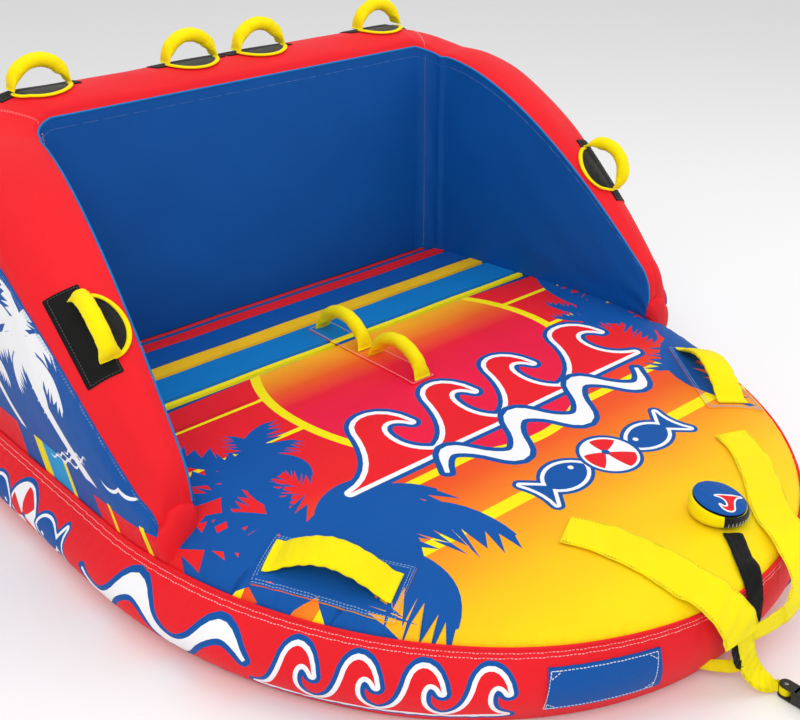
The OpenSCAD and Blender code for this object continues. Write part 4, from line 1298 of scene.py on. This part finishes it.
# ---------------------------------------------------------------- the deck valve's cover
VX, VY, VZ = 0.110, -0.600, 0.210  # middle of the cover's foot
COVER_R = 0.0565


def lathe(name, profile, mats, index_of, nv=96):
    """A turned shape around the cover's middle. index_of gives a face's material from its row and angle."""
    prof = np.array(profile)
    a = np.linspace(0, TAU, nv, endpoint=False)
    G = np.stack([prof[:, :1] * np.cos(a) + VX, prof[:, :1] * np.sin(a) + VY, np.repeat(prof[:, 1:2], nv, 1) + VZ], -1)
    G[..., 2] += propped(G[..., 0], G[..., 1], G[..., 2])
    faces = flipped(grid_faces(len(prof), nv, closed_v=True))
    return build(name, G.reshape(-1, 3), faces, mats, [index_of(k // nv, a[k % nv]) for k in range(len(faces))])


def propped(x, y, z):
    """How far the cover's top is held up: more at the rear, least at the mouth."""
    back = math.radians(112)
    r = ((x - VX) * math.cos(back) + (y - VY) * math.sin(back)) / 0.056
    return 0.011 * (1 + r) * np.clip((z - VZ) / 0.0145, 0, 1)


def mouth(a):
    """Whether an angle round the cover is in its dark gathered mouth, which faces the nose."""
    return abs((a - math.radians(-78) + math.pi) % TAU - math.pi) < math.radians(58)


WALL = [(0.048, 0.0005), (0.0545, 0.0), (COVER_R, 0.004), (COVER_R, 0.009), (0.055, 0.0125), (0.0535, 0.0145),
        (0.0515, 0.0150), (0.0495, 0.0135), (0.047, 0.010), (0.047, 0.002), (0.048, 0.0005)]
wall = lathe("valve_cover_wall", WALL, [M["sleeve"], M["neoprene"]], lambda i, a: int(mouth(a) and i < 6))
piece(wall, ["deck_valve_cover"], body="deck_valve_cover")


def dome(x, y):
    r = np.hypot(x - VX, y - VY)
    z = VZ + 0.0138 + 0.0115 * np.sqrt(np.clip(1 - (r / 0.0545) ** 2, 0, 1)) + 0.0003 * np.sin(x * 300)
    return np.stack([x, y, z + propped(x, y, z)], -1)


emblem = []
outlined(moved(crest(), (VX + 0.036, VY - 0.022), 150, (0.050, 0.040)), "red", emblem, white=0.0032, blue=0.0045)
EMBLEM_COLOURS = ["blue", "white", "red"]
piece(printed("valve_cover_top", arc(VX, VY, 0.0498, 0, 355, 72), coloured(emblem, EMBLEM_COLOURS), 0.005, dome,
              [M[c] for c in EMBLEM_COLOURS]), body="deck_valve_cover")
LINING = [(0.0005, 0.0215), (0.020, 0.0205), (0.036, 0.0165), (0.047, 0.0095)]
piece(lathe("valve_cover_lining", LINING, [M["neoprene"]], lambda i, a: 0), body="deck_valve_cover")


def round_wall(u, v, lift):
    r = COVER_R + 0.0002 + lift
    return np.stack([VX + r * np.cos(v), VY + r * np.sin(v), VZ + u], -1)


gathers = [(round_wall, np.linspace(0.001, 0.0125, 8), np.full(8, a)) for a in np.radians(np.linspace(-126, -30, 13))]
stitches("valve_cover_ribs", gathers, M["thread"], length=0.0026, pitch=0.004, width=0.0009,
         height=0.0005, body="deck_valve_cover")

# ---------------------------------------------------------------- patches on the side band
S_PATCH, H_PATCH = (0.205, 0.400), (0.029, 0.120)


def patch_quad(s0, s1, flare):
    """Corners on the band of a patch whose lower corner at s1 runs out by flare."""
    h0, h1 = H_PATCH
    return np.array([(s0, h0), (s1, h0), (s1 + flare, h1), (s0, h1)])


for word, s0, s1 in (("right", *S_PATCH), ("left", LOOP - S_PATCH[1], LOOP - S_PATCH[0])):
    patch = printed(f"band_patch_{word}", dense(patch_quad(s0, s1, 0.012), 0.012), [], 0.014,
                    lambda s, h: band(s, h, 0.003), [M["blue"]], lambda s, h: band(s, h, -0.001))
    piece(patch, [f"side_patch_{word}"])

# ---------------------------------------------------------------- seams
edge = band(np.linspace(0, LOOP, 720, endpoint=False), np.zeros(720))
edge[:, 2] = SEAM_Z + 0.0005
piece(cord("deck_seam", edge, 0.0030, M["red"], closed=True, flat=0.8), ["deck_seam_tape"])


def shell_f(part):
    return lambda g, t, lift: shell(g, t, part, lift)


n = 900
s_line, g_line = np.linspace(0, LOOP, n), np.linspace(G0 + 0.1, G1 - 0.1, n)
for name, surface, along, places, colour, width in (
        ("deck_seam_stitches", band, s_line, (0.006, 0.013), "red_thread", 0.0010),
        ("inner_seam_stitches", shell_f("inner"), g_line, (0.035,), "pale_thread", 0.0012),
        ("outer_seam_stitches", shell_f("outer"), g_line, (0.955, 0.975), "pale_thread", 0.0012)):
    stitches(name, [(surface, along, np.full(n, at)) for at in places], M[colour], width=width)
for name, part, lift, r, colour in (("inner_seam_piping", "inner", 0.0008, 0.0026, "light"),
                                    ("outer_seam_piping", "rim", 0.0006, 0.0022, "blue")):
    piece(cord(name, shell(g_line, np.zeros(n), part, lift), r, M[colour]))


# ---------------------------------------------------------------- more sewing
def inset_quad(q, w):
    """A polygon with its sides moved in by w."""
    out = []
    for i, b in enumerate(q):
        u, v = unit(b - q[i - 1]), unit(q[(i + 1) % len(q)] - b)
        nu, nv = left_of(u), left_of(v)
        out.append(b + w * (nu + nv) / (1 + nu @ nv))
    return np.array(out)


def ring(surface, corners, inset):
    """A line of stitches round the inside of a patch."""
    p = dense(inset_quad(ordered(corners), inset), 0.003)
    p = np.vstack([p, p[:1]])
    return surface, p[:, 0], p[:, 1]


def on_patch(u, v, lift):
    return on_deck(u, v, 0.0024 + lift)


def on_band_patch(s, h, lift):
    return band(s, h, 0.0032 + lift)


rows = [ring(on_patch, PATCH * [side, 1], inset) for side in (1, -1) for inset in (-0.001, 0.004)]
stitches("deck_patch_stitches", rows, M["pale_thread"])
stitches("seat_base_stitches", [ring(on_patch, bar(-0.034, 0.088, 0.034, 0.462), 0.004)], M["red_thread"])

rows = []
INSET = 0.005
h0, h1 = H_PATCH[0] + INSET, H_PATCH[1] - INSET
for side, s0, s1 in ((1, *S_PATCH), (-1, LOOP - S_PATCH[0], LOOP - S_PATCH[1])):
    rows.append(ring(on_band_patch, patch_quad(s0, s1, side * 0.010), INSET))
    # a stitched triangle in each corner
    for s, h, ds, dh in ((s0 + side * INSET, h0, side, 1), (s1 - side * INSET, h0, -side, 1),
                         (s0 + side * INSET, h1, side, -1), (s1, h1, -side, -1)):
        tack = np.array([(s + ds * 0.018, h), (s, h), (s, h + dh * 0.014), (s + ds * 0.018, h)])
        tack = np.vstack([mix(tack[i], tack[i + 1], np.linspace(0, 1, 8)[:, None]) for i in range(3)])
        rows.append((on_band_patch, tack[:, 0], tack[:, 1]))
stitches("band_patch_stitches", rows, M["thread"])

rows = []
for name, place in FRAMES.items():
    cover, up = draped(place, 0.0024), np.array(up_of(place))
    patch = bar(-0.093, -0.012, 0.093, 0.054 if name.startswith("arm") else 0.032)
    rows.append(ring(lambda u, v, lift, cover=cover, up=up: cover(u, v) + up * lift, patch, 0.004))
stitches("handle_patch_stitches", rows, M["grey_thread"])

rows = []
for f, last in ((left_strap, len(LEFT) - 1), (right_strap, len(RIGHT) - 1)):
    def on_strap(u, v, lift, f=f):
        return f(u, v, 0.0030 + lift)

    rows += [(on_strap, np.linspace(0.05, last - 0.05, 400), np.full(400, v)) for v in (-0.9, 0.9)]
    rows += [(on_strap, np.full(60, t), np.linspace(-0.88, 0.88, 60)) for t in (0.06, 0.16)]
stitches("strap_stitches", rows, M["yellow_thread"])

# Corner seams of the cover: double rows across the rim where the back meets the arms.
rows = [(shell_f(part), np.full(160, g + d), np.linspace(0.02, 0.98, 160))
        for g in (GC, GD) for d in (-0.06, 0.06) for part in ("rim", "inner")]
stitches("corner_stitches", rows, M["red_thread"], width=0.0010)


# ---------------------------------------------------------------- zips
def blocks(name, boxes, mat, place):
    """Many small boxes with tapered tops, (middle, half size) in a local frame."""
    sides = ((0, 3, 2, 1), (4, 5, 6, 7), (0, 1, 5, 4), (1, 2, 6, 5), (2, 3, 7, 6), (3, 0, 4, 7))
    verts, faces = [], []
    for (x, y, z), (a, b, c) in boxes:
        faces += [tuple(len(verts) + i for i in f) for f in sides]
        for dz, k in ((-c, 1.0), (c, 0.72)):
            verts += [(x + sx * a * k, y + sy * b * k, z + dz) for sx, sy in ((-1, -1), (1, -1), (1, 1), (-1, 1))]
    return build(name, put(place, np.array(verts)), faces, [mat], smooth=False)


def inset_loop(o, w):
    return o + w * left_of(unit(np.roll(o, -1, axis=0) - np.roll(o, 1, axis=0)))


def stack_of(rows):
    """Outlines at their heights, as a grid of points."""
    return np.array([np.column_stack([p, np.full(len(p), z)]) for p, z in rows])


def plate(name, outline, thick, bevel, mat, place, z0=0.0):
    """A flat shape with a rounded edge, standing on z0 in a local frame."""
    o = ordered(outline)
    n = len(o)
    rows = [(o, z0)]
    for a in np.radians(np.linspace(0, 90, 5)):
        rows.append((inset_loop(o, bevel * (1 - math.cos(a))), z0 + thick - bevel + bevel * math.sin(a)))
    rows.append((mix(o.mean(0), rows[-1][0], 0.5), z0 + thick))
    faces = flipped(grid_faces(len(rows), n, closed_v=True))
    faces += [range(n)[::-1], range((len(rows) - 1) * n, len(rows) * n)]
    return build(name, put(place, stack_of(rows)).reshape(-1, 3), faces, [mat])


ZIP_ROWS = []


def zip_fastener(name, lean):
    """Tape, teeth, a slider and its pull, on the rear of the tube."""
    lo, hi = (np.array(c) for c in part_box(name))
    mid = (lo + hi) / 2
    place = Matrix.Translation(mid) @ turned("X", -90 + lean) @ turned("Z", 180)
    L, W = 0.380, 0.012
    U, V = grid(np.linspace(-L, L, 160), np.linspace(-W, W, 9))
    Z = 0.0009 + 0.0005 * np.sin(U * 55) * (np.abs(V) / W) ** 2
    top, low = np.stack([U, V, Z], -1), np.stack([U, V, Z - 0.0016], -1)
    tape = sheet_of(name + "_tape", put(place, np.concatenate([top, low[:, ::-1]], 1)), M["tape"], closed_v=True, uv=True)
    cap_strap(tape, 160, 18)
    piece(tape, [name])
    teeth = [((-0.365 + 0.0025 * i, 0.0009 * (1 if i % 2 else -1), 0.0020), (0.0009, 0.0022, 0.0010)) for i in range(293)]
    piece(blocks(name + "_teeth", teeth, M["plastic"], place))
    slider = name + "_slider"
    lo, hi = (np.array(c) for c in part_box(slider))
    seat = Matrix.Translation(((lo[0] + hi[0]) / 2 - mid[0], 0, 0)) @ place
    body = rounded(-0.007, -0.005, 0.007, 0.005, 0.0022, 0.002)
    bridge = rounded(-0.0045, -0.0014, 0.0045, 0.0014, 0.0007, 0.001)
    pull = path(arc(-0.004, 0, 0.0032, 90, 270, 10),
                curve([(-0.004, -0.0032), (-0.018, -0.0030), (-0.024, -0.0048), (-0.034, -0.0048)], 8),
                arc(-0.034, 0, 0.0048, 270, 90, 10),
                curve([(-0.034, 0.0048), (-0.024, 0.0048), (-0.018, 0.0030), (-0.004, 0.0032)], 8)[1:-1])
    for word, outline, thick, bevel, z0 in (
            ("top", body, 0.0012, 0.0005, 0.0042), ("base", body * [0.95, 0.9], 0.0026, 0.0004, 0.0012),
            ("bridge", bridge, 0.0022, 0.0008, 0.0053), ("pull", pull, 0.0012, 0.0004, 0.0066)):
        piece(plate(f"{slider}_{word}", outline, thick, bevel, M["metal"], seat, z0),
              [slider] if word == "top" else [], body=slider)

    def on_tape(u, v, lift):
        return put(place, np.column_stack([u, v, np.full(len(u), 0.0010 + lift)]))

    ZIP_ROWS.extend((on_tape, np.linspace(-0.375, 0.375, 300), np.full(300, v)) for v in (-0.0095, 0.0095))


zip_fastener("deck_zip", 0)
zip_fastener("backrest_zip", 6.9)
stitches("zip_stitches", ZIP_ROWS, M["grey_thread"])


# ---------------------------------------------------------------- tow connector
def moulding(obj, nodes=()):
    piece(obj, nodes, "tow_connector")


def hooped(name, outline, hole, z0, z1, bevel=0.003, nodes=()):
    """A moulded plate with rounded edges and one round hole, given as (x, y, radius)."""
    o = ordered(outline)
    away, half = unit(o - hole[:2]), bevel / 2
    rim = hole[:2] + hole[2] * away
    rows = [(inset_loop(o, bevel * (1 - math.cos(a))), (z0 + bevel if a < 0 else z1 - bevel) + bevel * math.sin(a))
            for a in np.radians(np.linspace(-90, 90, 11))]
    rows += [(rim + away * half * (1 - math.cos(a)), (z0 + half if a < 0 else z1 - half) + half * math.sin(a))
             for a in np.radians(np.linspace(90, -90, 7))]
    moulding(sheet_of(name, stack_of(rows), M["plastic"], closed_u=True, closed_v=True), nodes)


CONN_H, NECK_Y = 0.026, -0.866
body_line = dense(path(arc(0, EYE_Y, 0.023, 130, 410, 60),
                       curve([(0.0150, -0.9374), (0.0132, -0.925), (0.0130, -0.910), (0.0130, -0.895)], 8)[1:],
                       arc(0.010, NECK_Y, 0.003, 0, 90, 4), arc(-0.010, NECK_Y, 0.003, 90, 180, 4),
                       curve([(-0.0130, -0.895), (-0.0130, -0.910), (-0.0132, -0.925), (-0.0148, -0.9374)], 8)[:-1]), 0.003)
hooped("connector_body", body_line, (0, EYE_Y, 0.010), 0.0, CONN_H, nodes=["tow_connector"])
cheek = dense(path(arc(0, POST_Y, 0.0125, 0, 180, 24), [(-0.0125, -0.872), (0.0125, -0.872)]), 0.003)
for k, (z0, z1) in enumerate(((0.0, 0.0038), (0.0222, CONN_H))):
    hooped(f"connector_cheek_{k + 1}", cheek, (0, POST_Y, 0.004), z0, z1, bevel=0.0012)
PIN = [(0.0002, 0.0008), (0.0052, 0.0008), (0.0058, 0.0014), (0.0058, 0.0246), (0.0052, 0.0252), (0.0002, 0.0252)]
a = np.linspace(0, TAU, 40, endpoint=False)
pin = stack_of([(np.column_stack([r * np.cos(a), POST_Y + r * np.sin(a)]), z) for r, z in PIN])
moulding(sheet_of("connector_pin", pin, M["metal"], closed_v=True))
grips = [((0, -0.930 + 0.006 * i, 0.0262), (0.0085, 0.0012, 0.0006)) for i in range(9)]
moulding(blocks("connector_ribs", grips, M["plastic"], Matrix()))

# ---------------------------------------------------------------- the CAD nodes that stay, and the floor
for valve in ("deck_valve", "back_valve"):
    for part, colour in (("body", "plastic"), ("cap", "plastic"), ("seal", "seal")):
        for slot in frame["nodes"][f"{valve}_{part}"].material_slots:
            slot.material = M[colour]

FLOOR = 14  # half its width
corners = [(x * FLOOR, y * FLOOR, -0.001) for x, y in ((-1, -1), (1, -1), (1, 1), (-1, 1))]
floor = build("floor", corners, [(0, 1, 2, 3)], [floor_material()])
